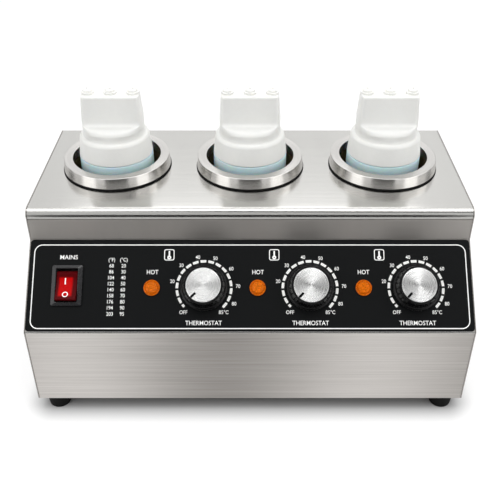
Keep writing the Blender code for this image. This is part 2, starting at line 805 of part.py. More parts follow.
def build_lamps(looks, panel):
    """Amber lens with its barrel through the panel, and a neon lamp that closes it behind."""
    base = OVERLAY_TOP + GAP
    top = base + LENS_HEIGHT
    barrel_end = base - BARREL_LENGTH
    bore = BARREL_RADIUS - LENS_WALL
    lens = turned(
        (
            (0, top),
            (LENS_TOP_RADIUS, top),
            (LENS_RADIUS, base + LENS_RIM),
            (LENS_RADIUS, base),
            (BARREL_RADIUS, base),
            (BARREL_RADIUS, barrel_end),
            (bore, barrel_end),
            (bore, top - LENS_WALL),
            (0, top - LENS_WALL),
        ),
        SMALL_SEGMENTS,
    )
    seat = barrel_end - GAP
    neon = turned(
        (
            (0, top - LENS_WALL - GAP),
            (bore - GAP, top - LENS_WALL - GAP),
            (bore - GAP, seat),
            (BARREL_RADIUS, seat),
            (BARREL_RADIUS, seat - LAMP_HOLDER_LENGTH),
            (0, seat - LAMP_HOLDER_LENGTH),
        ),
        SMALL_SEGMENTS,
    )
    for name, place in zip(WELL_NAMES, LAMP_PLACES):
        add(f"lamp_lens_{name}", lens, looks["amber"], panel, (place, CONTROL_RISE, 0))
        add(f"neon_lamp_{name}", neon, looks["glass"], panel, (place, CONTROL_RISE, 0))


def build_switch_housing(looks, axis):
    """Switch housing: eased bezel on the overlay and a body through the panel, open in front."""
    base = OVERLAY_TOP + GAP
    size = (BEZEL_WIDTH, BEZEL_HEIGHT, BEZEL_THICKNESS)
    bezel = eased_box(size, (0, 0, base + BEZEL_THICKNESS / 2), BEZEL_EASE)
    low, high = -SWITCH_DEPTH, base + BEZEL_THICKNESS / 2
    body_size = (SWITCH_BODY_WIDTH, SWITCH_BODY_HEIGHT, high - low)
    body = box(body_size, (0, 0, (low + high) / 2))
    depth = ROCKER_ROOM_DEPTH + OVERRUN
    space = box((*ROCKER_SPACE, depth), (0, 0, BEZEL_TOP + OVERRUN - depth / 2))
    mesh = carved(bezel, joins=[body], cuts=[space])
    add("switch_housing", mesh, looks["moulding"], axis)


def build_rocker(looks, axis):
    """Red rocker of two faces that slope to its middle. Its I end is pressed in at rest."""
    pivot = BEZEL_TOP - ROCKER_SINK - ROCKER_PIVOT_DEPTH
    crest = ROCKER_PIVOT_DEPTH + ROCKER_REACH * math.tan(ROCKER_TILT)
    waist = ROCKER_REACH * ROCKER_WAIST_SHARE
    outline = [
        (-ROCKER_REACH, crest - ROCKER_EDGE),
        (-waist, ROCKER_PIVOT_DEPTH - ROCKER_BODY),
        (waist, ROCKER_PIVOT_DEPTH - ROCKER_BODY),
        (ROCKER_REACH, crest - ROCKER_EDGE),
        (ROCKER_REACH, crest),
        (0, ROCKER_PIVOT_DEPTH),
        (-ROCKER_REACH, crest),
    ]
    mesh = plate([outline], ROCKER_WIDTH, FACING_X)
    tilt = (-ROCKER_TILT, 0, 0)
    add("switch_rocker", mesh, looks["rocker"], axis, (0, 0, pivot), tilt)


def well_cup_mesh():
    """Deep cup that hangs by its flange."""
    return turned(
        (
            (0, -WELL_DEPTH),
            (WELL_BORE - CUP_CORNER, -WELL_DEPTH),
            (WELL_BORE, CUP_CORNER - WELL_DEPTH),
            (WELL_BORE, FLANGE_TOP),
            (FLANGE_RADIUS, FLANGE_TOP),
            (FLANGE_RADIUS, FLANGE_BASE),
            (CUP_RADIUS, FLANGE_BASE),
            (CUP_RADIUS, CUP_CORNER - WELL_DEPTH),
            (CUP_RADIUS - CUP_CORNER, CUP_BASE),
            (0, CUP_BASE),
        )
    )


def collar_mesh():
    """Turned steel collar, rebated below over the cup's flange."""
    top = FLANGE_BASE + COLLAR_HEIGHT
    crown = COLLAR_RADIUS - COLLAR_TAPER
    rebate = FLANGE_RADIUS + GAP
    return turned(
        (
            (WELL_BORE, top - COLLAR_EASE),
            (WELL_BORE + COLLAR_EASE, top),
            (crown - COLLAR_EASE, top),
            (crown, top - COLLAR_EASE),
            (COLLAR_RADIUS, FLANGE_BASE),
            (rebate, FLANGE_BASE),
            (rebate, FLANGE_TOP + GAP),
            (WELL_BORE, FLANGE_TOP + GAP),
        ),
        ring=True,
    )


def gasket_mesh():
    """Flat black gasket between the lid and the collar."""
    corners = (
        (LID_HOLE, GASKET_TOP),
        (GASKET_RADIUS, GASKET_TOP),
        (GASKET_RADIUS, GAP),
        (LID_HOLE, GAP),
    )
    return turned(corners, ring=True)


def build_wells(looks):
    """Cup, collar and gasket of each well, on the well's axis."""
    cup, collar, gasket = well_cup_mesh(), collar_mesh(), gasket_mesh()
    for name, place in zip(WELL_NAMES, WELL_PLACES):
        axis = add_empty(f"well_axis_{name}", None, (place, WELL_Y, TOP_Z))
        add(f"well_cup_{name}", cup, looks["steel"], axis)
        add(f"well_collar_{name}", collar, looks["steel"], axis)
        add(f"well_gasket_{name}", gasket, looks["rubber"], axis)
        build_bottle(looks, name, axis)


def arc_points(radius, start, end):
    """Points of an arc about the origin, both ends included."""
    count = ROUND_SEGMENTS
    turns = [start + (end - start) * index / count for index in range(count + 1)]
    return [(radius * math.cos(turn), radius * math.sin(turn)) for turn in turns]


def heater_outline():
    """Split ring with a lug at each side of the split, which faces the front."""
    lug = SPLIT / 2 + LUG_THICKNESS
    reach = -(HEATER_RADIUS + LUG_LENGTH)
    front = -math.pi / 2
    inner = math.asin(SPLIT / 2 / HEATER_BORE)
    outer = math.asin(lug / HEATER_RADIUS)
    around = 2 * math.pi
    return [
        (SPLIT / 2, reach),
        (lug, reach),
        *arc_points(HEATER_RADIUS, front + outer, front + around - outer),
        (-lug, reach),
        (-SPLIT / 2, reach),
        *arc_points(HEATER_BORE, front + around - inner, front + inner),
    ]


def heater_mesh(side):
    """Band heater with its clamp bolt, and its terminal box at one side of the well."""
    middle = HEATER_BASE + HEATER_HEIGHT / 2
    ring = moved(plate([heater_outline()], HEATER_HEIGHT), Matrix.Translation((0, 0, middle)))
    grip = SPLIT / 2 + LUG_THICKNESS + CLAMP_HEAD
    clamp_y = -(HEATER_RADIUS + LUG_LENGTH * CLAMP_PLACE_SHARE)
    along_x = Matrix.Translation((0, clamp_y, middle)) @ Matrix.Rotation(math.pi / 2, 4, "Y")
    clamp = moved(rod(CLAMP_RADIUS, -grip, grip, TINY_SEGMENTS), along_x)
    overlap = HEATER_THICKNESS / 2
    size = (TERMINAL_DEPTH + overlap, TERMINAL_WIDTH, TERMINAL_HEIGHT)
    reach = side * (HEATER_RADIUS - overlap + size[0] / 2)
    terminal = box(size, (reach, 0, HEATER_BASE + TERMINAL_HEIGHT / 2))
    return carved(ring, joins=[clamp, terminal])


def build_heaters(looks):
    """A band heater round each cup."""
    for name, place, side in zip(WELL_NAMES, WELL_PLACES, TERMINAL_SIDES):
        axis = bpy.data.objects[f"well_axis_{name}"]
        add(f"band_heater_{name}", heater_mesh(side), looks["bare_metal"], axis)
        build_heater_lead(looks, name, place, side)


def build_heater_lead(looks, name, place, side):
    """Lead from a heater's terminal box to the terminal block. The left one runs under the wells."""
    start = Vector((place + side * (HEATER_RADIUS + TERMINAL_DEPTH / 2), WELL_Y, 0))
    start.z = TOP_Z + HEATER_BASE - GAP
    down = Vector((0, 0, -2 * LEAD_RADIUS))
    if name == "left":
        way_y = WELL_Y + BLOCK_LENGTH * BLOCK_WAY_SHARES[0]
        end = Vector((BLOCK_X - BLOCK_WIDTH / 2 - GAP, way_y, LEAD_LANE_Z))
        approach = Vector((-2 * LEAD_RADIUS, 0, 0))
        middle = [
            Vector((start.x, start.y, (start.z + LEAD_LANE_Z) / 2)),
            Vector((start.x + CUP_RADIUS / 2, way_y, LEAD_LANE_Z)),
            Vector((0, way_y, LEAD_LANE_Z)),
        ]
    else:
        port = BLOCK_X - side * BLOCK_WIDTH * BLOCK_SIDE_SHARE
        end = Vector((port, WELL_Y, BLOCK_TOP + GAP))
        approach = Vector((0, 0, 2 * LEAD_RADIUS))
        middle = []
    route = smooth_route([start, start + down, *middle, end + approach, end])
    add(f"heater_lead_{name}", tube(route, LEAD_RADIUS), looks["lead"])


def build_bulbs(looks):
    """Capillary from each thermostat to its bulb, which stands in the split of the band heater."""
    bulb_low = TOP_Z + HEATER_BASE + (HEATER_HEIGHT - BULB_LENGTH) / 2
    bulb_y = WELL_Y - HEATER_BORE - BULB_RADIUS
    inwards = PANEL_MATRIX.to_3x3() @ Vector((0, 0, -CAPILLARY_SLACK))
    thin = CAPILLARY_RADIUS / BULB_RADIUS
    for name, place, dial in zip(WELL_NAMES, WELL_PLACES, DIAL_PLACES):
        start = PANEL_MATRIX @ Vector((dial, CONTROL_RISE, THERMOSTAT_BACK - GAP))
        foot = Vector((place, bulb_y, bulb_low))
        below = foot - Vector((0, 0, CAPILLARY_SLACK))
        turn = below - Vector((0, CAPILLARY_SLACK, CAPILLARY_SLACK / 2))
        leave = start + inwards
        half_way = (leave + turn) / 2
        step = Vector((0, 0, BULB_RADIUS))
        route = smooth_route([start, leave, half_way, turn, below, foot - step])
        bulb = [foot, foot + Vector((0, 0, BULB_LENGTH)), foot + Vector((0, 0, BULB_LENGTH)) + step]
        swell = [thin] * len(route) + [1, 1, BULB_NOSE_SHARE]
        mesh = tube([*route, *bulb], BULB_RADIUS, swell)
        add(f"thermostat_bulb_{name}", mesh, looks["copper"])


def bottle_mesh():
    """Open bottle that stands on the cup's floor, with a neck for the cap."""
    foot = GAP - WELL_DEPTH
    shoulder = foot + BOTTLE_HEIGHT
    mouth = shoulder + NECK_LENGTH
    floor = foot + BOTTLE_WALL
    inside = BOTTLE_RADIUS - BOTTLE_WALL
    neck_inside = NECK_RADIUS - BOTTLE_WALL
    return turned(
        (
            (0, floor),
            (inside - BOTTLE_FOOT_ROUND, floor),
            (inside, floor + BOTTLE_FOOT_ROUND),
            (inside, shoulder - BOTTLE_WALL),
            (neck_inside, shoulder),
            (neck_inside, mouth),
            (NECK_RADIUS, mouth),
            (NECK_RADIUS, shoulder),
            (BOTTLE_RADIUS, shoulder),
            (BOTTLE_RADIUS, foot + BOTTLE_FOOT_ROUND),
            (BOTTLE_RADIUS - BOTTLE_FOOT_ROUND, foot),
            (0, foot),
        )
    )


def cap_rings(base):
    """Outer rings of the cap: tapered skirt, groove, column, bulge and a chisel with flat faces."""
    rise = base + SKIRT_HEIGHT - SKIRT_ROUND
    rings = [level_ring(SKIRT_RADIUS, base)]
    for share in ROUND_SHARES:
        radius = SKIRT_TOP_RADIUS - SKIRT_ROUND * (1 - math.sqrt(1 - share**2))
        rings.append(level_ring(radius, rise + SKIRT_ROUND * share))
    column = base + SKIRT_HEIGHT + CAP_GROOVE
    rings.append(level_ring(SPOUT_RADIUS, column))
    foot_half = CHISEL_FOOT_DEPTH / 2
    for share in ROUND_SHARES:
        half_depth = foot_half + (SPOUT_RADIUS - foot_half) * math.sqrt(1 - share**2)
        height = column + COLUMN_HEIGHT + BULGE_HEIGHT * share
        rings.append(level_ring(SPOUT_RADIUS, height, half_depth))
    top = base + SPOUT_HEIGHT
    top_half = CHISEL_TOP_DEPTH / 2
    rings.append(level_ring(SPOUT_TOP_RADIUS, top - CHISEL_ROUND, top_half))
    rings.append(level_ring(SPOUT_TOP_RADIUS, top, top_half - CHISEL_ROUND))
    return rings


def cap_hollow(base):
    """Inside of the cap, a wall thinner all round, open at the skirt."""
    seat = base + NECK_LENGTH + GAP
    column = SPOUT_RADIUS - CAP_WALL
    foot = base + CHISEL_FOOT
    top = base + SPOUT_HEIGHT - CAP_WALL
    foot_half = CHISEL_FOOT_DEPTH / 2 - CAP_WALL
    top_half = CHISEL_TOP_DEPTH / 2 - CAP_WALL - CHISEL_ROUND
    return loft(
        (
            level_ring(SKIRT_BORE, base - OVERRUN),
            level_ring(SKIRT_BORE, seat),
            level_ring(column, seat),
            level_ring(column, foot - BULGE_HEIGHT),
            level_ring(column, foot - CAP_WALL, foot_half),
            level_ring(SPOUT_TOP_RADIUS - CAP_WALL, top, top_half),
        )
    )


def nozzle_mesh(top):
    """One stepped nozzle, sunk a little into the cap's top."""
    return turned(
        (
            (0, top + NOZZLE_HEIGHT),
            (NOZZLE_TIP_RADIUS / 2, top + NOZZLE_HEIGHT),
            (NOZZLE_TIP_RADIUS, (top + NOZZLE_HEIGHT + top + NOZZLE_STEP) / 2),
            (NOZZLE_TIP_RADIUS, top + NOZZLE_STEP),
            (NOZZLE_RADIUS, top + NOZZLE_STEP),
            (NOZZLE_RADIUS, top - CAP_WALL / 2),
            (0, top - CAP_WALL / 2),
        ),
        TINY_SEGMENTS,
    )


def cap_mesh():
    """Hollow cap with three nozzles in a row, each with a bore into the hollow."""
    base = 2 * GAP - WELL_DEPTH + BOTTLE_HEIGHT
    top = base + SPOUT_HEIGHT
    pitch = SPOUT_TOP_RADIUS - NOZZLE_RADIUS - NOZZLE_RIM
    nozzles, bores = [], []
    for side in (-1, 0, 1):
        place = Matrix.Translation((side * pitch, 0, 0))
        nozzles.append(moved(nozzle_mesh(top), place))
        low, high = top - CAP_WALL - OVERRUN, top + NOZZLE_HEIGHT + OVERRUN
        bores.append(moved(rod(NOZZLE_BORE_RADIUS, low, high, TINY_SEGMENTS), place))
    inside = carved(cap_hollow(base), joins=bores)
    return smooth(carved(loft(cap_rings(base)), joins=nozzles, cuts=[inside]))


def build_bottle(looks, name, axis):
    """A bottle and its cap, both on the well's axis."""
    add(f"bottle_{name}", bottle_mesh(), looks["bottle"], axis)
    add(f"bottle_cap_{name}", cap_mesh(), looks["cap"], axis)


def build_inlet(looks):
    """Mains inlet in the rear panel: flange outside, body inside, a recess with three pins."""
    flange = box((INLET_WIDTH, INLET_FLANGE, INLET_HEIGHT), (0, INLET_FLANGE / 2, 0))
    size = (INLET_HOLE[0], INLET_DEPTH + INLET_FLANGE / 2, INLET_HOLE[1])
    body = box(size, (0, INLET_FLANGE / 2 - size[1] / 2, 0))
    room = (INLET_HOLE[0] - 2 * INLET_WALL, INLET_HOLE[1] - 2 * INLET_WALL)
    depth = INLET_DEPTH - INLET_BACK + INLET_FLANGE + OVERRUN
    recess = box((room[0], depth, room[1]), (0, INLET_FLANGE + OVERRUN - depth / 2, 0))
    shell = carved(flange, joins=[body], cuts=[recess])
    pins = []
    for x_share, z_share in PIN_PLACE_SHARES:
        length = PIN_LENGTH + INLET_BACK / 2
        middle = length / 2 - INLET_DEPTH + INLET_BACK / 2
        place = (x_share * room[0], middle, z_share * room[1])
        pins.append(box((PIN_WIDTH, length, PIN_HEIGHT), place))
    mesh = carved(shell, joins=pins)
    add("mains_inlet", mesh, looks["moulding"], location=(BLOCK_X, INLET_FACE_Y, INLET_Z))


def build_terminal_block(looks):
    """Terminal block on the base between two wells, with a screw well over each way."""
    block = box((BLOCK_WIDTH, BLOCK_LENGTH, BLOCK_HEIGHT))
    cuts = []
    for share in BLOCK_WAY_SHARES[::2]:
        for side in (-1, 1):
            place = (side * BLOCK_WIDTH * BLOCK_SIDE_SHARE, BLOCK_LENGTH * share, BLOCK_HEIGHT / 2)
            well = rod(BLOCK_SCREW_RADIUS, -BLOCK_SCREW_DEPTH, OVERRUN, TINY_SEGMENTS)
            cuts.append(moved(well, Matrix.Translation(place)))
    middle = BASE_TOP + GAP + BLOCK_HEIGHT / 2
    mesh = carved(block, cuts=cuts)
    add("terminal_block", mesh, looks["block"], location=(BLOCK_X, WELL_Y, middle))


def build_inlet_lead(looks):
    """Lead from the back of the inlet down to the end of the terminal block."""
    start = Vector((BLOCK_X, INLET_FACE_Y - INLET_DEPTH - GAP, INLET_Z))
    end = Vector((BLOCK_X, WELL_Y + BLOCK_LENGTH / 2 + GAP, BLOCK_TOP - BLOCK_HEIGHT / 2))
    straight = Vector((0, 2 * INLET_LEAD_RADIUS, 0))
    route = smooth_route([start, start - straight, end + straight, end])
    add("inlet_lead", tube(route, INLET_LEAD_RADIUS), looks["lead"])


def make_looks():
    """Materials by short name."""
    return {
        "steel": material("brushed_steel", "C9C7C4", 1, 0.3),
        "bare_metal": material("plated_steel", "9A9CA0", 1, 0.4),
        "aluminium": material("spun_aluminium", "DCDCDA", 1, 0.25),
        "copper": material("copper_tube", "B87348", 1, 0.35),
        "rubber": material("black_rubber", "161616", 0, 0.7),
        "overlay": material("printed_overlay", "1A1C1C", 0, 0.45),
        "moulding": material("black_moulding", "1E1E1F", 0, 0.4),
        "knob": material("knob_black", "17171A", 0, 0.3),
        "rocker": material("red_rocker", "C21214", 0, 0.25),
        "amber": material("amber_lens", "EC7A16", 0, 0.15),
        "glass": material("neon_glass", "E8B48C", 0, 0.1),
        "block": material("cream_moulding", "D9D2C0", 0, 0.6),
        "lead": material("silicone_lead", "8A2A22", 0, 0.55),
        "bottle": material("translucent_bottle", "B4D2D6", 0, 0.3),
        "cap": material("white_cap", "F2F2EE", 0, 0.35),
    }


def build_case(looks):
    """Folded and flat sheets, feet and screws."""
    build_top_cover(looks)
    build_front_wrap(looks)
    build_side_panels(looks)
    build_rear_panel(looks)
    build_base_plate(looks)
    build_feet(looks)
    build_rear_screws(looks)


def build_panel(looks):
    """Everything that is carried in the sloped panel's frame."""
    panel = add_empty("panel_frame", None, (0, FRONT_Y, FOLD_Z), (PANEL_ANGLE, 0, 0))
    build_overlay(looks, panel)
    build_dials(looks, panel)
    build_lamps(looks, panel)
    switch_axis = add_empty("switch_axis", panel, (SWITCH_PLACE, SWITCH_RISE, 0))
    build_switch_housing(looks, switch_axis)
    build_rocker(looks, switch_axis)


def build_electrics(looks):
    """Heaters, bulbs, inlet, terminal block and leads inside the case."""
    build_heaters(looks)
    build_bulbs(looks)
    build_inlet(looks)
    build_terminal_block(looks)
    build_inlet_lead(looks)


def main():
    """Builds the whole warmer."""
    clear_scene()
    new_collection("topping_warmer")
    new_collection("shaping_helpers").hide_render = True
    looks = make_looks()
    build_case(looks)
    build_panel(looks)
    build_wells(looks)
    build_electrics(looks)


main()
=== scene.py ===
"""Finish of a counter-top topping warmer with three heated wells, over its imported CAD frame.

Sizes are in metres, as in the frame: X runs along the width, the front faces -Y and Z is up.
"""

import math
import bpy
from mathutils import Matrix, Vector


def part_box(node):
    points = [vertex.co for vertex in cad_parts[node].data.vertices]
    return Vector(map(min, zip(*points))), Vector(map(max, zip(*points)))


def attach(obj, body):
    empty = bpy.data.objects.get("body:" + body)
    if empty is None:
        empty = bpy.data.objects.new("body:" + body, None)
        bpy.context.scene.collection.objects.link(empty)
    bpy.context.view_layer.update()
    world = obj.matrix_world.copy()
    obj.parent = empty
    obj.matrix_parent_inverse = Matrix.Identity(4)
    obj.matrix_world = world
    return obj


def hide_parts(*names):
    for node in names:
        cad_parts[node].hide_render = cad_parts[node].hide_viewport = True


bl_info = {
    "name": "Topping Warmer Finish",
    "version": (1, 0, 0),
    "blender": (4, 5, 0),
    "location": "View3D > Sidebar > Warmer",
    "description": "Builds the finished pieces of a three-well topping warmer over its CAD frame",
    "category": "Object",
}

import bmesh
import bpy
from bpy.props import FloatProperty, FloatVectorProperty, IntProperty, PointerProperty
from bpy.types import Operator, Panel, PropertyGroup
from mathutils import Matrix, Vector

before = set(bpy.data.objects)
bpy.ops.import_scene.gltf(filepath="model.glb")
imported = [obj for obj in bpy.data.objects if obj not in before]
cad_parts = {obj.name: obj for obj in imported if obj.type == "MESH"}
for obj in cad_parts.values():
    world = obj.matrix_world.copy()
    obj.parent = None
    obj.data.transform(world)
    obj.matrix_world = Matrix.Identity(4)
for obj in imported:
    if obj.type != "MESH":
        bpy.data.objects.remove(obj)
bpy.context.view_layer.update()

# Names and places that come from the frame
WELLS = ("left", "middle", "right")
SIDES = ("left", "right")
LID_LOW, LID_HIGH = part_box("top_cover")
WRAP_LOW, WRAP_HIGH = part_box("front_wrap")
COLLAR_LOW, COLLAR_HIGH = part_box("well_collar_middle")
GASKET_LOW, GASKET_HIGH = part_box("well_gasket_middle")
CUP_LOW, CUP_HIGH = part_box("well_cup_middle")
BOTTLE_LOW, BOTTLE_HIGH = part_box("bottle_middle")
CAP_LOW, CAP_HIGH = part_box("bottle_cap_middle")

# Points closer than this merge, and an edge is sharp, or cut, from such a turn on
WELD = 0.000001
SHARP = math.radians(30)
CUT_EDGE = math.radians(60)

# A fold has a facet for each such stretch of its radius, and no fewer than these
FOLD_STRETCH = 0.0008
FEWEST_FACETS = 4

# UV map that a metal's grain follows
GRAIN = "grain"

# Sheet steel: its brush lines, how far its broad shades reach, and their share in its colour
BRUSH_WIDTH = 0.0007
BRUSH_LENGTH = 0.12
SHADE_ALONG = 0.11
SHADE_ACROSS = 0.6
SHADE_SHARE = 0.75

# A wave texture of scale one turns this many radians a metre
WAVE_TURNS = 20

# How far a moulded surface's roughness strays from its middle
GLOSS_SPREAD = 0.04

# Rim of a lens from its inside out: share of the rim's width from the lens's edge, and height
LENS_RIM = ((1.1, 0.0004), (1, 0.001), (0.5, 0.0014), (0.15, 0.0011), (0, 0.0007), (0, 0))

# Lit window of the rocker, across and along: its middle, half its width and its soft edge
WINDOW_ACROSS = (-0.0006, 0.0056, 0.0012)
WINDOW_ALONG = (-0.0016, 0.0082, 0.0012)

# Marks: the bar's width, length and corner, the circle's radii, where both are on the rocker,
# and how far a mark stands out of what carries it
BAR = (0.001, 0.0056, 0.0004)
BAR_PLACE = (-0.0012, 0.003)
CIRCLE = (0.0017, 0.0025)
CIRCLE_PLACE = (-0.0003, -0.009)
MARK_LIFT = 0.00006

# Pins of the mains inlet: places across and up, width, height, half their length, and how far
# their middle lies towards the front from the inlet's
PIN_PLACES = ((-0.0069, -0.002), (0.0069, -0.002), (0, 0.003))
PIN_WIDTH = 0.0022
PIN_HEIGHT = 0.0042
PIN_HALF = 0.0052
PIN_FORWARD = 0.0012

# Rounded edges of the pins and the nozzles
SMALL_EASE = 0.0003

# Height of a capital as a share of the font's size, and gap between the overlay and its print
CAPITAL = 0.682
PRINT_LIFT = 0.00001

# Dashed ring of a dial and its pointer mark at OFF. Angles are counted from the right.
RING_START = math.radians(-46.5)
RING_END = math.radians(226.5)
RING_STEP = math.radians(16.5)
OFF_ANGLE = math.radians(226)

# Numbers of a dial, each with its degrees and its distance from the dial's middle
DIAL_NUMBERS = (
    (20, 168, 0.0277),
    (30, 135, 0.0277),
    (40, 102, 0.0273),
    (50, 70, 0.0274),
    (60, 36, 0.0284),
    (70, 3, 0.0289),
    (80, -28, 0.0289),
)

# Ends of a dial's scale, each with its place across and up from the dial's middle
DIAL_ENDS = (("OFF", -0.0172, -0.0208), ("85°C", 0.0168, -0.0208))

# Words, each with its place across from what it names, its rise up the slope and its width
DIAL_WORD = ("THERMOSTAT", 0, 0.0081, 0.0307)
LAMP_WORD = ("HOT", 0.0004, 0.0517, 0.0098)
SWITCH_WORD = ("MAINS", 0.0004, 0.0647, 0.0150)

# Thermometer sign: its place across from a dial and up the slope, its frame's width, height,
# line and corner, its bulb's radii, its stem's width, length and corner, and the rise of both
SIGN_PLACE = (-0.0302, 0.0668)
SIGN_FRAME = (0.0088, 0.0098, 0.0007, 0.0018)
SIGN_BULB = (0.0006, 0.0017)
BULB_RISE = -0.0023
SIGN_STEM = (0.0013, 0.0056, 0.0006)
STEM_RISE = 0.0007

# Table of degrees: places of its columns across the panel, its rows, and the rise of its head,
# of its first row and from row to row
TABLE_COLUMNS = (-0.1183, -0.108)
FAHRENHEIT = (68, 86, 104, 122, 140, 158, 176, 194, 203)
CELSIUS = (20, 30, 40, 50, 60, 70, 80, 90, 95)
TABLE_HEAD = 0.0625
TABLE_TOP = 0.0572
TABLE_STEP = 0.00518

# Stage. Each lamp and card has its degrees from the front, its degrees up, its distance and its size.
# A lamp has its radiance too, and a card how far it leans over, in degrees, and its shade.
ROOM_MIDDLE = Vector((0, 0, 0.12))
LAMPS = (
    ("left_box", -58, 12, 1.8, (0.9, 1.5), 1.25),
    ("right_box", 58, 12, 1.8, (0.9, 1.5), 1.2),
    ("back_box", 180, 47, 2.0, (1.2, 0.8), 1.35),
    ("overhead_box", 0, 82, 1.6, (1.5, 0.8), 3.0),
    ("left_high_box", -85, 42, 1.8, (0.7, 0.7), 0.5),
    ("right_high_box", 100, 42, 1.8, (0.8, 0.8), 1.1),
)
CARDS = (
    ("front_card", 0, 0, 1.5, (1.3, 0.95), 0, "black"),
    ("front_high_card", 0, 39, 1.6, (1.6, 1.0), 0, "grey"),
    ("slant_card", 8, 61, 1.6, (1.8, 0.42), 35, "black"),
    ("left_card", -105, 8, 1.6, (0.5, 0.8), 0, "black"),
    ("right_card", 105, 8, 1.6, (0.5, 0.8), 0, "black"),
    ("left_rear_card", -140, 2, 1.6, (0.8, 0.5), 0, "black"),
    ("right_rear_card", 140, 2, 1.6, (0.8, 0.5), 0, "black"),
)


def linear(code):
    """A six-digit sRGB colour as linear red, green and blue."""
    channels = [int(code[at : at + 2], 16) / 255 for at in (0, 2, 4)]
    return tuple(c / 12.92 if c <= 0.04045 else ((c + 0.055) / 1.055) ** 2.4 for c in channels)


def number(label, about, value, **options):
    """A plain number that a user may change."""
    return FloatProperty(name=label, description=about, default=value, **options)


def length(label, about, value):
    """A size in metres that a user may change."""
    return number(label, about, value, unit="LENGTH", precision=5)


def angle(label, about, degrees):
    """An angle that a user may change, given in degrees."""
    return number(label, about, math.radians(degrees), subtype="ANGLE")


def colour(label, about, code):
    """A colour that a user may change, given as sRGB hex."""
    return FloatVectorProperty(
        name=label, description=about, default=linear(code), subtype="COLOR", min=0, max=1
    )


class CaseSettings(PropertyGroup):
    """Folded sheet of the case and its feet."""

    sheet: length("Sheet", "Thickness of the case's sheet", 0.001)
    brow_radius: length("Brow radius", "Outer radius of the lid's front fold", 0.007)
    lid_front: length("Lid front", "Depth of the lid's front flange", 0.0077)
    fold_radius: length("Fold radius", "Outer radius of the other folds", 0.002)
    fold_height: length("Lower fold", "Height of the fold under the sloped panel", 0.0915)
    brow_height: length("Upper fold", "Height of the fold over the sloped panel", 0.1452)
    edge_ease: length("Edge", "Broken edge of cut sheet", 0.0002)
    foot_radius: length("Foot", "Upper radius of a foot", 0.0108)
    foot_tread: length("Tread", "Radius of a foot where it stands", 0.0096)
    foot_round: length("Foot rounding", "Rounding of a foot's lower edge", 0.0015)
    foot_gap: length("Foot gap", "Gap between a foot and the case", 0.0003)
    screw_hole: length("Screw hole", "Radius of the holes in the rear flange", 0.0019)
    shaft_hole: length("Shaft hole", "Radius of the holes for shafts and lamps", 0.0053)
    switch_hole: length("Switch hole", "Width of the hole for the switch", 0.0222)
    switch_hole_length: length("Switch hole length", "Length of that hole", 0.0312)
    steel: colour("Steel", "Light streaks of the lid's steel", "D0CFCC")
    steel_streak: colour("Streaks", "Dark streaks of the lid's steel", "C4C3C0")
    # The brow's steel is the lid's steel painted darker, as painted shade. The side panels, the rear
    # panel and the base plate take it too.
    wrap_steel: colour("Wrap", "Light streaks of the brow's steel", "AFABA7")
    wrap_streak: colour("Wrap streaks", "Dark streaks of the brow's steel", "9A9793")
    # The lower plate's light and dark bands are painted reflections, painted highlight and painted
    # shade, not the steel's own colour
    plate_steel: colour("Plate", "Light bands of the lower plate", "DDD9D5")
    plate_band: colour("Plate bands", "Dark bands of the lower plate", "9C9894")
    band_pitch: length("Band pitch", "Distance between two light bands", 0.255)
    band_middle: length("Band middle", "Place of a light band, right of the middle", 0.106)
    rubber: colour("Rubber", "Feet and gaskets", "0E0E0E")


class WellSettings(PropertyGroup):
    """Collar, gasket and cup of a well."""

    bore: length("Bore", "Inner radius of a collar", 0.040)
    collar_ease: length("Collar edge", "Rounded edges of a collar", 0.0004)
    collar_taper: length("Collar taper", "How far the collar's wall leans in", 0.0012)
    collar_foot: length("Collar foot", "Width of a collar's foot round the cup's flange", 0.0032)
    lid_hole: length("Lid hole", "Radius of the hole in the lid", 0.0415)
    cup_corner: length("Cup corner", "Rounding of a cup's floor", 0.004)
    flange: length("Flange", "Height of a cup's flange over the gasket", 0.0013)
    turned: colour("Turned steel", "Colour of the collars", "D8D6D3")
    # The cup's dark brown is painted shade and painted reflection of the well's inside, not browning by
    # heat
    cup: colour("Cup", "Steel of a cup, browned by heat", "8C7B58")


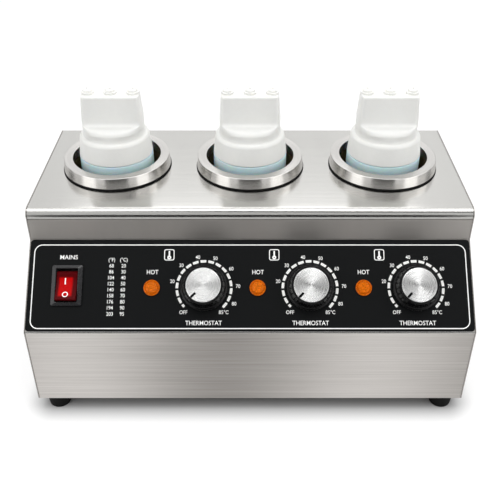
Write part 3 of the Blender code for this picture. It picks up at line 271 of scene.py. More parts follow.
class BottleSettings(PropertyGroup):
    """Squeeze bottle and its spouted cap."""

    wall: length("Wall", "Wall of the bottle and the cap", 0.0016)
    shoulder: length("Shoulder", "Height of a bottle's shoulder", 0.1892)
    neck: length("Neck", "Radius of the neck", 0.0294)
    foot_round: length("Foot rounding", "Rounding of a bottle's foot", 0.003)
    skirt_top: length("Skirt top", "Radius of a cap's skirt where it starts to round", 0.0314)
    skirt_height: length("Skirt", "Height of a cap's skirt", 0.020)
    skirt_inset: length("Skirt inset", "From a cap's widest radius in to its skirt's foot", 0.0008)
    skirt_gap: length("Skirt gap", "From a cap's lowest point up to its skirt's wall", 0.0005)
    skirt_round: length("Skirt rounding", "Rounding of the skirt's shoulder", 0.0045)
    column: length("Column", "Radius of a cap's column", 0.0272)
    column_height: length("Column height", "From the shoulder to the bulge", 0.0048)
    cove: length("Cove", "Width of the hollow at the column's foot", 0.0009)
    cove_foot: length("Cove foot", "Height of that hollow's lower half", 0.0009)
    cove_waist: length("Cove waist", "Width of that hollow at half its height", 0.0002)
    cove_rise: length("Cove rise", "Height of that hollow's upper half", 0.001)
    bulge: length("Bulge", "Height of the bulge under the flat faces", 0.0058)
    fillet: length("Fillet", "Hollow rounding between the bulge and the flat faces", 0.004)
    face_foot: length("Face foot", "Half depth of the spout at the foot of its faces", 0.0135)
    face_top: length("Face top", "Half depth of the spout at the top of its faces", 0.010)
    spout_height: length("Spout", "Height of a cap without its nozzles", 0.056)
    spout_top: length("Spout top", "Half width of the spout at its top", 0.0257)
    spout_round: length("Spout rounding", "Rounding round the spout's top", 0.0018)
    nozzle: length("Nozzle", "Radius of a nozzle's foot", 0.0055)
    nozzle_tip: length("Nozzle tip", "Radius of a nozzle over its foot", 0.0042)
    nozzle_mouth: length("Nozzle mouth", "Outer radius of a nozzle's mouth", 0.00231)
    nozzle_taper: number("Nozzle taper", "Share of a nozzle's height from which it narrows", 0.72)
    nozzle_step: length("Nozzle step", "Height of a nozzle's foot", 0.0018)
    nozzle_bore: length("Nozzle bore", "Radius of a nozzle's bore", 0.0009)
    nozzle_pitch: length("Nozzle pitch", "Distance between nozzles", 0.0198)
    cap: colour("Cap", "White of the caps", "EEEEEA")
    body: colour("Bottle", "Tint of the bottles", "DDF0F5")


class PrintSettings(PropertyGroup):
    """Printed overlay of the sloped panel."""

    border_reach: length("Border reach", "From the middle to the outer side of the border", 0.1852)
    border_foot: length("Border foot", "Rise of the border's lower side", 0.003)
    border_head: length("Border head", "Rise of the border's upper side", 0.0759)
    border: length("Border", "Width of the border line", 0.0008)
    border_corner: length("Border corner", "Outer radius of the border's corners", 0.007)
    ring: length("Ring", "Outer radius of a dial's dashed ring", 0.0242)
    ring_width: length("Ring width", "Width of the dashes", 0.0021)
    dash_gap: length("Dash gap", "Gap between two dashes", 0.00045)
    number_height: length("Number height", "Height of the numbers", 0.0031)
    word_height: length("Word height", "Height of the words", 0.0037)
    overlay_top: length("Overlay top", "Height of the overlay's face over the panel", 0.0009)
    ink_depth: length("Ink", "Thickness of the printed ink", 0.00005)
    letter_weight: number("Letter weight", "Share of its size that a letter's strokes grow by", 0.003)
    letter_width: number("Letter width", "Width of the letters as a share of the font's", 0.88)
    overlay: colour("Overlay", "Black of the overlay", "080A0B")
    ink: colour("Ink colour", "Colour of the print", "FEFEFC")


class ControlSettings(PropertyGroup):
    """Knobs, lamps and the switch on the panel."""

    rise: length("Rise", "Height of the dials and lamps up the slope", 0.038)
    knob_base: length("Knob base", "Height of a knob's foot over the panel", 0.0015)
    knob_height: length("Knob height", "Height of a knob", 0.0135)
    knob_bore: length("Knob bore", "Radius of the bore for the shaft", 0.0033)
    knob_bore_depth: length("Bore depth", "Depth of the bore for the shaft", 0.010)
    knob: length("Knob", "Radius of a knob's skirt", 0.020)
    knob_skirt: length("Knob skirt", "Height of a knob's skirt", 0.003)
    skirt_fall: length("Skirt fall", "Fall of a knob's skirt towards its edge", 0.0005)
    knob_grip: length("Grip", "Radius of the grip at its foot", 0.0182)
    knob_top: length("Knob top", "Radius of the grip at its top", 0.0164)
    grip_cove: length("Grip cove", "Width of the hollow round the grip's foot", 0.0008)
    ease: length("Moulded edge", "Rounded edges of the knobs, discs and rocker", 0.0005)
    disc: length("Disc", "Radius of a knob's disc", 0.0147)
    disc_thickness: length("Disc thickness", "Thickness of a disc", 0.0014)
    disc_gap: length("Disc gap", "Gap round and under a disc", 0.0003)
    mark: length("Mark", "Width of the pointer mark", 0.002)
    mark_start: length("Mark start", "From the knob's axis to the pointer mark", 0.009261)
    mark_inset: length("Mark inset", "From the pointer mark to the disc's edge", 0.0001)
    mark_sink: length("Mark sink", "Depth of the pointer mark in the disc", 0.0005)
    lens: length("Lens", "Radius of a lamp's lens", 0.0069)
    lens_flat: length("Lens flat", "Radius of the lens's flat top", 0.004416)
    lens_top: length("Lens top", "Radius of the broken edge round that", 0.0048)
    lens_height: length("Lens height", "Height of a lens over the overlay", 0.0026)
    lens_base: length("Lens base", "Height of a lens's foot over the panel", 0.0012)
    lens_ease: length("Lens edge", "Fall of that broken edge", 0.0002)
    lens_side: length("Lens side", "Height of the dome's upright side", 0.0009)
    lens_rim: length("Lens rim", "Width of a lens's round rim", 0.0011)
    barrel: length("Barrel", "Radius of a lens's barrel", 0.005)
    barrel_length: length("Barrel length", "Length of a lens's barrel", 0.012)
    barrel_wall: length("Barrel wall", "Wall of a lens's barrel", 0.001)
    bezel_width: length("Bezel width", "Width of the switch's bezel", 0.026)
    bezel_length: length("Bezel length", "Length of the switch's bezel", 0.035)
    bezel_height: length("Bezel height", "Height of the bezel over the overlay", 0.0022)
    bezel_corner: length("Bezel corner", "Radius of the bezel's corners", 0.0016)
    bezel_lip: length("Bezel lip", "Rounding of the bezel's edges", 0.0004)
    rocker_width: length("Rocker width", "Width of the rocker", 0.0178)
    rocker_head: length("Rocker head", "From the rocker's pivot to its upper end", 0.0124)
    rocker_foot: length("Rocker foot", "From the rocker's pivot to its lower end", 0.0139)
    rocker_slant: length("Rocker slant", "Slanted upper end of the rocker", 0.002)
    rocker_tilt: angle("Rocker tilt", "Tilt of the rocker at rest", 8)
    rocker_body: length("Rocker body", "Depth of the rocker under its middle", 0.005)
    rocker_end: length("Rocker end", "Height of the rocker's ends", 0.0036)
    rocker_waist: length("Rocker waist", "From the rocker's pivot to the ends of its back", 0.00558)
    room_width: length("Room width", "Width of the rocker's room", 0.0184)
    room_length: length("Room length", "Length of the rocker's room", 0.0288)
    room_depth: length("Room depth", "Depth of the rocker's room under the bezel", 0.0105)
    room_corner: length("Room corner", "Radius of the corners of the rocker's room", 0.0004)
    housing_width: length("Housing width", "Width of the housing behind the panel", 0.0216)
    housing_length: length("Housing length", "Length of that housing", 0.0306)
    housing_depth: length("Housing depth", "Depth of that housing under the panel", 0.022)
    housing_corner: length("Housing corner", "Radius of the housing's corners", 0.0006)
    bezel_rim: length("Bezel rim", "From the bezel's crest to the rocker's room", 0.0006)
    bezel_dip: length("Bezel dip", "Fall of the bezel from its crest to its edge", 0.0009)
    rocker_sink: length("Rocker sink", "From the bezel's top down to the rocker's middle", 0.0008)
    rocker_depth: length("Rocker depth", "From the rocker's middle down to its pivot", 0.003)
    switch_rise: length("Switch rise", "Height of the switch's middle up the slope", 0.040)
    knob_black: colour("Knob", "Black of the knobs", "070708")
    spun: colour("Disc", "Spun aluminium", "FAFAF9")
    amber: colour("Lens", "Amber of the lamps", "EA730C")
    red: colour("Rocker", "Red of the rocker where its lamp shines", "B40507")
    red_edge: colour("Rocker edge", "Dark red of the rocker round its lit window", "4E0408")


class StageSettings(PropertyGroup):
    """Floor, light and camera."""

    lens: number("Lens", "Focal length of the camera", 53.35, subtype="DISTANCE_CAMERA")
    camera_height: length("Camera height", "Height of the camera over the floor", 0.504)
    camera_distance: length("Camera distance", "Distance of the camera in front of the middle", 0.57885)
    camera_tilt: angle("Camera tilt", "How far the camera looks down", 34.9)
    floor_size: length("Floor", "Width of the floor", 8.0)
    floor_front: length("Floor front", "From the middle to the floor's front edge", 0.285)
    floor: colour("Floor", "Colour of the floor", "A8A8A8")
    card: colour("Card", "Black felt of the cards that shade the metal", "0C0C0C")
    grey_card: colour("Grey card", "Grey felt of the card that dims the metal", "F2F2F2")
    room_light: number("Room", "Level of the room's light", 0.78)
    floor_glow: number("Floor glow", "Light that the floor shows of itself away from the case", 0.66)
    # Round the case the floor's glow fades out, which paints shade over the real shadow there
    glow_reach: length("Glow reach", "Width over which that light fades in round the case", 0.033)
    glow_under: length("Glow under", "How far inside the case's outline that starts", 0.012)
    turn_steps: IntProperty(name="Turning steps", description="Facets round a turned piece", default=96)


class WarmerSettings(PropertyGroup):
    """All settings of the warmer."""

    case: PointerProperty(type=CaseSettings, name="Case", description="Case and feet")
    well: PointerProperty(type=WellSettings, name="Wells", description="Collars, gaskets and cups")
    bottle: PointerProperty(type=BottleSettings, name="Bottles", description="Bottles and caps")
    printing: PointerProperty(type=PrintSettings, name="Print", description="Printed overlay")
    control: PointerProperty(type=ControlSettings, name="Controls", description="Knobs, lamps, switch")
    stage: PointerProperty(type=StageSettings, name="Stage", description="Floor, light and camera")


def settings():
    """The warmer's settings in this scene."""
    return bpy.context.scene.topping_warmer


# Frames of the panel, the dials, the lamps, the switch and the wells
def shifted(x, y=0, z=0):
    """A matrix that shifts by three lengths."""
    return Matrix.Translation((x, y, z))


def lifted(height):
    """A matrix that lifts by a height."""
    return shifted(0, 0, height)


def middle_x(node):
    """Middle of a CAD node along X."""
    low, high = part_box(node)
    return (low.x + high.x) / 2


def standing(node):
    """Frame at the height of the floor, under the middle of a CAD node."""
    low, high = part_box(node)
    return shifted(middle_x(node), (low.y + high.y) / 2)


def panel_frame():
    """Frame of the sloped panel: X along the lower fold, Y up the slope and Z outwards."""
    case = settings().case
    foot = Vector((0, WRAP_LOW.y, case.fold_height))
    run = LID_LOW.y - WRAP_LOW.y
    slope = math.atan2(case.brow_height - case.fold_height, run)
    return Matrix.Translation(foot) @ Matrix.Rotation(slope, 4, "X")


def on_panel(node, rise=None):
    """Frame on the panel under a control's CAD node."""
    rise = settings().control.rise if rise is None else rise
    return panel_frame() @ shifted(middle_x(node), rise)


def switch_place():
    """Frame on the panel under the switch."""
    return on_panel("switch_rocker", settings().control.switch_rise)


def well_frame(name):
    """Frame on the axis of a well, at the height of the floor."""
    return standing(f"well_collar_{name}")


# Shaping
def tidy(shape):
    """Merges doubles and turns the faces outwards."""
    bmesh.ops.remove_doubles(shape, verts=shape.verts, dist=WELD)
    bmesh.ops.recalc_face_normals(shape, faces=shape.faces)
    return shape


def sharp_edges(shape, limit=SHARP):
    """Edges between two faces that meet at more than the limit."""
    pairs = [edge for edge in shape.edges if len(edge.link_faces) == 2]
    return [edge for edge in pairs if edge.calc_face_angle() > limit]


def soften(shape, width, steps=3, edges=None):
    """Rounds edges, by default all the sharp ones."""
    chosen = sharp_edges(shape) if edges is None else edges
    bmesh.ops.bevel(
        shape,
        geom=chosen,
        offset=width,
        offset_type="OFFSET",
        segments=steps,
        profile=0.5,
        affect="EDGES",
        material=-1,
        clamp_overlap=True,
    )
    return shape


def turned(profile, ring=False, steps=None, turn=2 * math.pi):
    """A shape turned about Z from (radius, height) points."""
    shape = bmesh.new()
    line = [shape.verts.new((radius, 0, height)) for radius, height in profile]
    after = line[1:] + line[:1] if ring else line[1:]
    edges = [shape.edges.new(pair) for pair in zip(line, after)]
    bmesh.ops.spin(
        shape,
        geom=line + edges,
        axis=(0, 0, 1),
        cent=(0, 0, 0),
        angle=turn,
        steps=steps or settings().stage.turn_steps,
        use_merge=True,
    )
    return tidy(shape)


def quarter(centre, radius, start, end, steps=6):
    """Points of an arc in a profile, between two angles in degrees."""
    points = []
    for step in range(steps + 1):
        turn = math.radians(start + (end - start) * step / steps)
        points.append((centre[0] + radius * math.cos(turn), centre[1] + radius * math.sin(turn)))
    return points


def flat(width, height, corner=0, steps=8):
    """A level face with rounded corners."""
    shape = bmesh.new()
    bmesh.ops.create_grid(shape, x_segments=1, y_segments=1, size=0.5)
    bmesh.ops.scale(shape, vec=(width, height, 1), verts=shape.verts)
    if corner:
        bmesh.ops.bevel(
            shape,
            geom=shape.verts[:],
            offset=corner,
            segments=steps,
            profile=0.5,
            affect="VERTICES",
            material=-1,
        )
    return shape


def pulled(shape, way):
    """A flat shape pulled along a way into a solid."""
    made = bmesh.ops.extrude_face_region(shape, geom=shape.faces[:], use_keep_orig=True)
    points = [part for part in made["geom"] if isinstance(part, bmesh.types.BMVert)]
    bmesh.ops.translate(shape, vec=way, verts=points)
    return tidy(shape)


def raised(shape, height):
    """A level shape pulled up into a solid."""
    return pulled(shape, (0, 0, height))


def boxed(width, height, low, high):
    """A box between two heights."""
    return moved(raised(flat(width, height), high - low), lifted(low))


def washer(inner, outer, **options):
    """A level ring between two radii."""
    return turned([(inner, 0), (outer, 0)], **options)


def framed(width, height, line, corner):
    """A level frame with rounded corners, hollow inside."""
    shape = flat(width, height, corner)
    bmesh.ops.inset_region(
        shape, faces=shape.faces[:], thickness=line, use_even_offset=True, use_boundary=True
    )
    inner = min(shape.faces, key=lambda face: face.calc_center_median().length)
    bmesh.ops.delete(shape, geom=[inner], context="FACES_ONLY")
    return shape


def lofted(rings):
    """A closed solid through level rounded rectangles, each (width, length, corner, height)."""
    shape = joined([moved(flat(*ring[:3], steps=6), lifted(ring[3])) for ring in rings])
    faces = shape.faces[:]
    loops = [face.edges[:] for face in faces]
    for lower, upper in zip(loops, loops[1:]):
        bmesh.ops.bridge_loops(shape, edges=lower + upper)
    bmesh.ops.delete(shape, geom=faces[1:-1], context="FACES_ONLY")
    return tidy(shape)


def folded(corners, radii, half_width, thickness, holes=()):
    """Sheet folded along (y, z) corners. Each inner corner is a fold with a radius of its own."""
    shape = bmesh.new()
    line = [shape.verts.new((-half_width, y, z)) for y, z in corners]
    edges = [shape.edges.new(pair) for pair in zip(line, line[1:])]
    made = bmesh.ops.extrude_edge_only(shape, edges=edges)
    points = [part for part in made["geom"] if isinstance(part, bmesh.types.BMVert)]
    bmesh.ops.translate(shape, vec=(2 * half_width, 0, 0), verts=points)
    for (y, z), radius in zip(corners[1:-1], radii):
        fold = fold_edge(shape, y, z)
        half_turn = fold.calc_face_angle() / 2
        steps = max(FEWEST_FACETS, round(radius / FOLD_STRETCH))
        soften(shape, radius * math.tan(half_turn), steps, [fold])
    bmesh.ops.recalc_face_normals(shape, faces=shape.faces)
    for group in holes:
        pierce(shape, group)
    bmesh.ops.recalc_face_normals(shape, faces=shape.faces)
    return thicken(shape, thickness)


def fold_edge(shape, y, z):
    """The edge along X that runs through a corner."""
    for edge in shape.edges:
        if all(abs(end.co.y - y) < WELD and abs(end.co.z - z) < WELD for end in edge.verts):
            return edge
    raise RuntimeError(f"No fold at {y}, {z}")


def pierce(shape, holes):
    """Fills a flat strip again, round the outlines of the holes in it."""
    place = holes[0][1].translation
    level = [
        face
        for face in shape.faces
        if abs((place - face.calc_center_median()).dot(face.normal)) < 10 * WELD
    ]
    strip = max(level, key=lambda face: face.calc_area())
    normal = strip.normal.copy()
    rim = list(strip.edges)
    bmesh.ops.delete(shape, geom=[strip], context="FACES_ONLY")
    for hole, place in holes:
        made = hole(shape)
        bmesh.ops.transform(shape, matrix=place, verts=made)
        rim += dict.fromkeys(edge for point in made for edge in point.link_edges)
    bmesh.ops.triangle_fill(shape, use_beauty=True, use_dissolve=False, edges=rim, normal=normal)


def round_hole(radius, steps=96):
    """A maker of a round outline in a shape."""

    def make(shape):
        return bmesh.ops.create_circle(shape, cap_ends=False, radius=radius, segments=steps)["verts"]

    return make


def square_hole(width, height):
    """A maker of a rectangular outline in a shape."""
    corner = math.sqrt(0.5)
    size = Matrix.Diagonal((width, height, 1, 1)) @ Matrix.Rotation(math.pi / 4, 4, "Z")

    def make(shape):
        made = bmesh.ops.create_circle(shape, cap_ends=False, radius=corner, segments=4)["verts"]
        bmesh.ops.transform(shape, matrix=size, verts=made)
        return made

    return make


def thicken(shape, thickness):
    """Gives an open sheet its thickness, away from its outer side."""
    bmesh.ops.solidify(shape, geom=shape.faces[:], thickness=thickness)
    return tidy(shape)


def moved(shape, matrix):
    """The shape carried by a matrix."""
    bmesh.ops.transform(shape, matrix=matrix, verts=shape.verts)
    return shape


def joined(shapes):
    """Several shapes as one."""
    whole = bmesh.new()
    for shape in shapes:
        mesh = bpy.data.meshes.new("part")
        shape.to_mesh(mesh)
        shape.free()
        whole.from_mesh(mesh)
        bpy.data.meshes.remove(mesh)
    return whole


def round_grain(shape):
    """Grain of a turned piece: U runs along its profile and V round its axis."""
    layer = shape.loops.layers.uv.new(GRAIN)
    for face in shape.faces:
        centre = face.calc_center_median()
        face_turn = math.atan2(centre.y, centre.x)
        for loop in face.loops:
            x, y, z = loop.vert.co
            radius = math.hypot(x, y)
            turn = math.atan2(y, x) - face_turn if radius > WELD else 0
            turn = face_turn + math.atan2(math.sin(turn), math.cos(turn))
            loop[layer].uv = (radius + z, turn / (2 * math.pi))
    return shape


def straight_grain(shape, across, along):
    """Grain of a brushed sheet: U runs across the brush lines and V along them."""
    layer = shape.loops.layers.uv.new(GRAIN)
    for face in shape.faces:
        for loop in face.loops:
            loop[layer].uv = (loop.vert.co.dot(Vector(across)), loop.vert.co.dot(Vector(along)))
    return shape


def linked(name, data):
    """A new object of the scene."""
    obj = bpy.data.objects.new(name, data)
    bpy.context.scene.collection.objects.link(obj)
    return obj


def solid(name, shape, look):
    """A shape as an object of one material."""
    mesh = bpy.data.meshes.new(name)
    shape.to_mesh(mesh)
    shape.free()
    mesh.materials.append(look)
    return linked(name, mesh)


def piece(name, shape, look, body, replaced=(), place=None, limit=SHARP):
    """A finished piece that rides on a body and stands in for CAD nodes."""
    if place is not None:
        moved(shape, place)
    for face in shape.faces:
        face.smooth = True
    for edge in sharp_edges(shape, limit):
        edge.smooth = False
    obj = solid(name, shape, look)
    weights = obj.modifiers.new("flat faces stay flat", "WEIGHTED_NORMAL")
    weights.keep_sharp = True
    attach(obj, body)
    if replaced:
        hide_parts(*replaced)
    return obj


# Materials
def add_node(tree, kind, inputs=None, **options):
    """Adds a node with its options and inputs. An input is a value or another node's output."""
    node = tree.nodes.new(kind)
    for name, value in options.items():
        setattr(node, name, value)
    for name, value in (inputs or {}).items():
        if isinstance(value, bpy.types.NodeSocket):
            tree.links.new(value, node.inputs[name])
        else:
            node.inputs[name].default_value = value
    return node


def new_look(name, colour_value, roughness, **inputs):
    """A Principled material with constant inputs, its node tree and its shader."""
    look = bpy.data.materials.new(name)
    look.use_nodes = True
    shader = look.node_tree.nodes["Principled BSDF"]
    shader.inputs["Base Color"].default_value = (*colour_value, 1)
    shader.inputs["Roughness"].default_value = roughness
    for label, value in inputs.items():
        shader.inputs[label.replace("_", " ")].default_value = value
    return look, look.node_tree, shader


def dimmed(value, share):
    """A colour at a share of its level."""
    return [channel * share for channel in value]


def streaks(tree, shader, places, scale, colours, roughness, depth, broad=None):
    """Noise that varies a surface's colour, roughness and height, drawn long by its scale.

    A node output of broad shades, where one is given, varies its colour too.
    """
    share = noise_share(tree, places, scale)
    shade = share
    if broad:
        shade = add_node(tree, "ShaderNodeMix", {0: SHADE_SHARE, 2: share, 3: broad}).outputs[0]
    inputs = {0: shade, 6: (*colours[0], 1), 7: (*colours[1], 1)}
    blend = add_node(tree, "ShaderNodeMix", inputs, data_type="RGBA")
    tree.links.new(blend.outputs[2], shader.inputs["Base Color"])
    inputs = {"Value": share, "To Min": roughness[0], "To Max": roughness[1]}
    rough = add_node(tree, "ShaderNodeMapRange", inputs)
    tree.links.new(rough.outputs["Result"], shader.inputs["Roughness"])
    height = add_node(tree, "ShaderNodeBump", {"Height": share, "Strength": 0.3, "Distance": depth})
    tree.links.new(height.outputs["Normal"], shader.inputs["Normal"])


def noise_share(tree, places, scale):
    """Noise stretched by a scale. Its middle levels are spread out from nought to one."""
    spread = add_node(tree, "ShaderNodeMapping", {"Vector": places, "Scale": scale})
    inputs = {"Vector": spread.outputs["Vector"], "Scale": 1, "Detail": 5, "Roughness": 0.6}
    noise = add_node(tree, "ShaderNodeTexNoise", inputs)
    inputs = {"Value": noise.outputs["Fac"], "From Min": 0.3, "From Max": 0.7}
    return add_node(tree, "ShaderNodeMapRange", inputs).outputs["Result"]


def band_share(tree, places, period, middle):
    """Painted reflections as soft upright bands along X, from nought in the middle of a light band to
    one between two.
    """
    turns = 2 * math.pi / period
    inputs = {"Vector": places, "Scale": turns / WAVE_TURNS, "Phase Offset": -turns * middle}
    waviness = {"Distortion": 0.8, "Detail": 1, "Detail Scale": 0.4}
    wave = add_node(tree, "ShaderNodeTexWave", inputs | waviness, bands_direction="X")
    return wave.outputs["Fac"]


def grain_tangent(tree, shader):
    """Stretches a metal's highlights along U of the piece's grain."""
    tangent = add_node(tree, "ShaderNodeTangent", direction_type="UV_MAP", uv_map=GRAIN)
    tree.links.new(tangent.outputs["Tangent"], shader.inputs["Tangent"])


def object_places(tree):
    """Object coordinates."""
    return add_node(tree, "ShaderNodeTexCoord").outputs["Object"]


def grain_places(tree):
    """Coordinates of the piece's own grain."""
    return add_node(tree, "ShaderNodeUVMap", uv_map=GRAIN).outputs["UV"]


def brushed_steel(name, along, colours, roughness, tangent=True, bands=None):
    """Stainless sheet brushed in one direction: long fine streaks and highlights drawn across them.

    The real brush lines are some 0.05 mm wide. Here they are about 0.7 mm, so that they show. Soft
    shades, about 11 cm long in the direction of the brushing, vary the sheet too, as they do on
    rolled steel. Where a period and the middle of a light band are given, painted reflections take the
    place of those: light and dark upright bands, that is painted highlight and painted shade.
    """
    look, tree, shader = new_look(name, colours[1], 0.2, Metallic=1, Anisotropic=0.5 if tangent else 0)
    lines = [1 / (BRUSH_LENGTH if axis == along else BRUSH_WIDTH) for axis in "XYZ"]
    wide = [1 / (SHADE_ALONG if axis == along else SHADE_ACROSS) for axis in "XYZ"]
    places = object_places(tree)
    broad = band_share(tree, places, *bands) if bands else noise_share(tree, places, wide)
    streaks(tree, shader, places, lines, colours, roughness, 0.000004, broad)
    if tangent:
        grain_tangent(tree, shader)
    return look


def turned_metal(name, value, dark, ring, patches, roughness, depth, anisotropic):
    """A metal with rings of a width round its axis, broken by patches, and highlights across them."""
    look, tree, shader = new_look(name, value, roughness[0], Metallic=1, Anisotropic=anisotropic)
    colours, scale = (dimmed(value, dark), value), (1 / ring, patches, 1)
    streaks(tree, shader, grain_places(tree), scale, colours, roughness, depth)
    grain_tangent(tree, shader)
    return look


def turned_steel():
    """Stainless turned on a lathe: bright, with fine rings and highlights drawn across them.

    The real tool marks are some 0.1 mm wide. Here they are 0.4 mm, so that they show.
    """
    shade = {"dark": 0.86, "roughness": (0.19, 0.27), "anisotropic": 0.7}
    value = settings().well.turned
    return turned_metal("turned_stainless", value, ring=0.0004, patches=3, depth=0.000003, **shade)


def spun_aluminium():
    """Aluminium faced with a fine spiral: conic highlights that fan out from the middle.

    The real spiral is some 0.1 mm wide. Here it is 0.3 mm, so that it shows.
    """
    shade = {"dark": 0.8, "roughness": (0.22, 0.32), "anisotropic": 0.95}
    value = settings().control.spun
    return turned_metal("spun_aluminium", value, ring=0.0003, patches=5, depth=0.000006, **shade)


def patchy_metal(name, colours, roughness, size):
    """A metal with soft patches of two shades, each patch of a size along X, Y and Z."""
    look, tree, shader = new_look(name, colours[1], roughness[1], Metallic=1)
    scale = [1 / part for part in size]
    streaks(tree, shader, object_places(tree), scale, colours, roughness, 0.00001)
    return look


def heated_steel():
    """Deep-drawn steel painted dark brown, as painted shade and painted reflection down in the well:
    only softly shiny.
    """
    value = settings().well.cup
    colours, size = (dimmed(value, 0.6), value), (0.01667, 0.01667, 0.04)
    return patchy_metal("steel_painted_brown_shade", colours, (0.4, 0.6), size)


def plated_steel():
    """Zinc-plated steel: cool grey and dull, with a slight mottle."""
    colours, size = (linear("8F9194"), linear("AFB1B3")), (0.00333, 0.00333, 0.00333)
    return patchy_metal("zinc_plated_steel", colours, (0.32, 0.46), size)


def copper():
    """Drawn copper tube: warm and half bright, with darker tarnished patches."""
    colours, size = (linear("8C5434"), linear("C27E52")), (0.00833, 0.00833, 0.00833)
    return patchy_metal("drawn_copper", colours, (0.28, 0.42), size)


def mottled(name, value, roughness, grain, depth, spread=0.06, **inputs):
    """A moulded surface: one colour, with a fine grain in its gloss, its shade and its height.

    The grain of a real mould is 0.05 to 0.2 mm wide. It is drawn some ten times as coarse, so that
    it shows. On the caps, the bottles and the lead sleeves it stands for their soft waves.
    """
    look, tree, shader = new_look(name, value, roughness, **inputs)
    colours, scale = (dimmed(value, 1 - spread), value), (1 / grain, 1 / grain, 1 / grain)
    gloss = (roughness - GLOSS_SPREAD, roughness + GLOSS_SPREAD)
    streaks(tree, shader, object_places(tree), scale, colours, gloss, depth)
    return look


def rubber():
    """Moulded rubber: matt black that only shows a broad dull sheen."""
    value, inputs = settings().case.rubber, {"Specular_IOR_Level": 0.15}
    return mottled("moulded_rubber", value, roughness=0.72, grain=0.0012, depth=0.00004, **inputs)


def black_moulding():
    """Injection-moulded nylon: black with a satin shine along its edges."""
    return mottled("black_nylon", linear("1C1C1E"), roughness=0.28, grain=0.0009, depth=0.00001)


def knob_plastic():
    """Moulded ABS, polished: deep black with clear soft highlights."""
    value, inputs = settings().control.knob_black, {"Specular_IOR_Level": 0.2}
    return mottled("polished_abs", value, roughness=0.26, grain=0.002, depth=0.000005, **inputs)


def overlay_film():
    """Polycarbonate film with a velvet face: even black that mirrors nothing clearly."""
    value, inputs = settings().printing.overlay, {"Specular_IOR_Level": 0.11}
    return mottled("velvet_film", value, roughness=0.6, grain=0.0008, depth=0.000005, **inputs)


def printed_ink():
    """Screen-printed white ink: flat and matt, lifted a little by a painted glow."""
    return mottled(
        "screen_ink_painted_glow",
        settings().printing.ink,
        roughness=0.55,
        grain=0.0008,
        depth=0.000002,
        spread=0.03,
        # This emission is a painted glow that brightens the ink, which gives off no light of its own
        Emission_Color=(1, 1, 1, 1),
        Emission_Strength=0.1,
    )


def cap_plastic():
    """Moulded polypropylene: white, a little waxy, with soft broad highlights."""
    return mottled(
        "white_polypropylene",
        settings().bottle.cap,
        roughness=0.36,
        grain=0.004,
        depth=0.00001,
        spread=0.02,
        Subsurface_Weight=0.25,
        Subsurface_Scale=0.004,
        Subsurface_Radius=(1, 0.95, 0.85),
        Specular_IOR_Level=0.45,
    )


def bottle_plastic():
    """Blow-moulded LDPE: milky and translucent, tinted a cold blue."""
    return mottled(
        "milky_ldpe",
        settings().bottle.body,
        roughness=0.34,
        grain=0.005,
        depth=0.00001,
        spread=0.03,
        Subsurface_Weight=0.5,
        Subsurface_Scale=0.006,
    )


def amber_lens():
    """Cast acrylic lit from behind by a neon lamp: glowing amber, mottled at its middle."""
    value = settings().control.amber
    return mottled(
        "lit_amber_acrylic",
        value,
        roughness=0.15,
        grain=0.0012,
        depth=0.0002,
        spread=0.7,
        Specular_IOR_Level=0.2,
        Emission_Color=(*value, 1),
        Emission_Strength=0.12,
    )


def neon_glass():
    """Glass of a neon lamp that glows orange."""
    glow = {"Emission_Color": (*linear("F08A3C"), 1), "Emission_Strength": 0.3}
    value = linear("E8B48C")
    return mottled("neon_glass", value, roughness=0.08, grain=0.002, depth=0.000005, **glow)


def silicone():
    """Silicone lead sleeve: dull brick red."""
    return mottled("silicone_sleeve", linear("8A2A22"), roughness=0.55, grain=0.002, depth=0.00002)


def cream_moulding():
    """Ceramic-filled moulding of a terminal block: cream and matt."""
    return mottled("cream_ceramic", linear("D9D2C0"), roughness=0.6, grain=0.002, depth=0.00002)


def red_rocker():
    """Translucent red polycarbonate, lit by a lamp behind its middle and dark red at its edges."""
    control = settings().control
    red = (*control.red, 1)
    look, tree, shader = new_look(
        "lit_red_polycarbonate", control.red, 0.2, Specular_IOR_Level=0.03, Emission_Color=red
    )
    turn, middle = panel_frame().to_euler().x, switch_place().translation
    inputs = {"Vector": object_places(tree), "Location": middle, "Rotation": (turn, 0, 0)}
    local = add_node(tree, "ShaderNodeMapping", inputs, vector_type="TEXTURE").outputs["Vector"]
    axes = add_node(tree, "ShaderNodeSeparateXYZ", {"Vector": local})
    across = glow_band(tree, axes.outputs["X"], *WINDOW_ACROSS)
    along = glow_band(tree, axes.outputs["Y"], *WINDOW_ALONG)
    glow = add_node(tree, "ShaderNodeMath", {0: across, 1: along}, operation="MULTIPLY").outputs[0]
    inputs = {0: glow, 6: (*control.red_edge, 1), 7: red}
    tint = add_node(tree, "ShaderNodeMix", inputs, data_type="RGBA")
    tree.links.new(tint.outputs[2], shader.inputs["Base Color"])
    power = add_node(tree, "ShaderNodeMath", {0: glow, 1: 0.12}, operation="MULTIPLY")
    tree.links.new(power.outputs[0], shader.inputs["Emission Strength"])
    return look


def glow_band(tree, value, centre, half, soft):
    """One where a coordinate is within a half width of a centre, fading to nought outside it."""
    offset = add_node(tree, "ShaderNodeMath", {0: value, 1: centre}, operation="SUBTRACT")
    away = add_node(tree, "ShaderNodeMath", {0: offset.outputs[0]}, operation="ABSOLUTE")
    ends = {"From Min": half - soft, "From Max": half + soft, "To Min": 1, "To Max": 0}
    inputs = {"Value": away.outputs[0]} | ends
    fade = add_node(tree, "ShaderNodeMapRange", inputs, interpolation_type="SMOOTHSTEP")
    return fade.outputs["Result"]


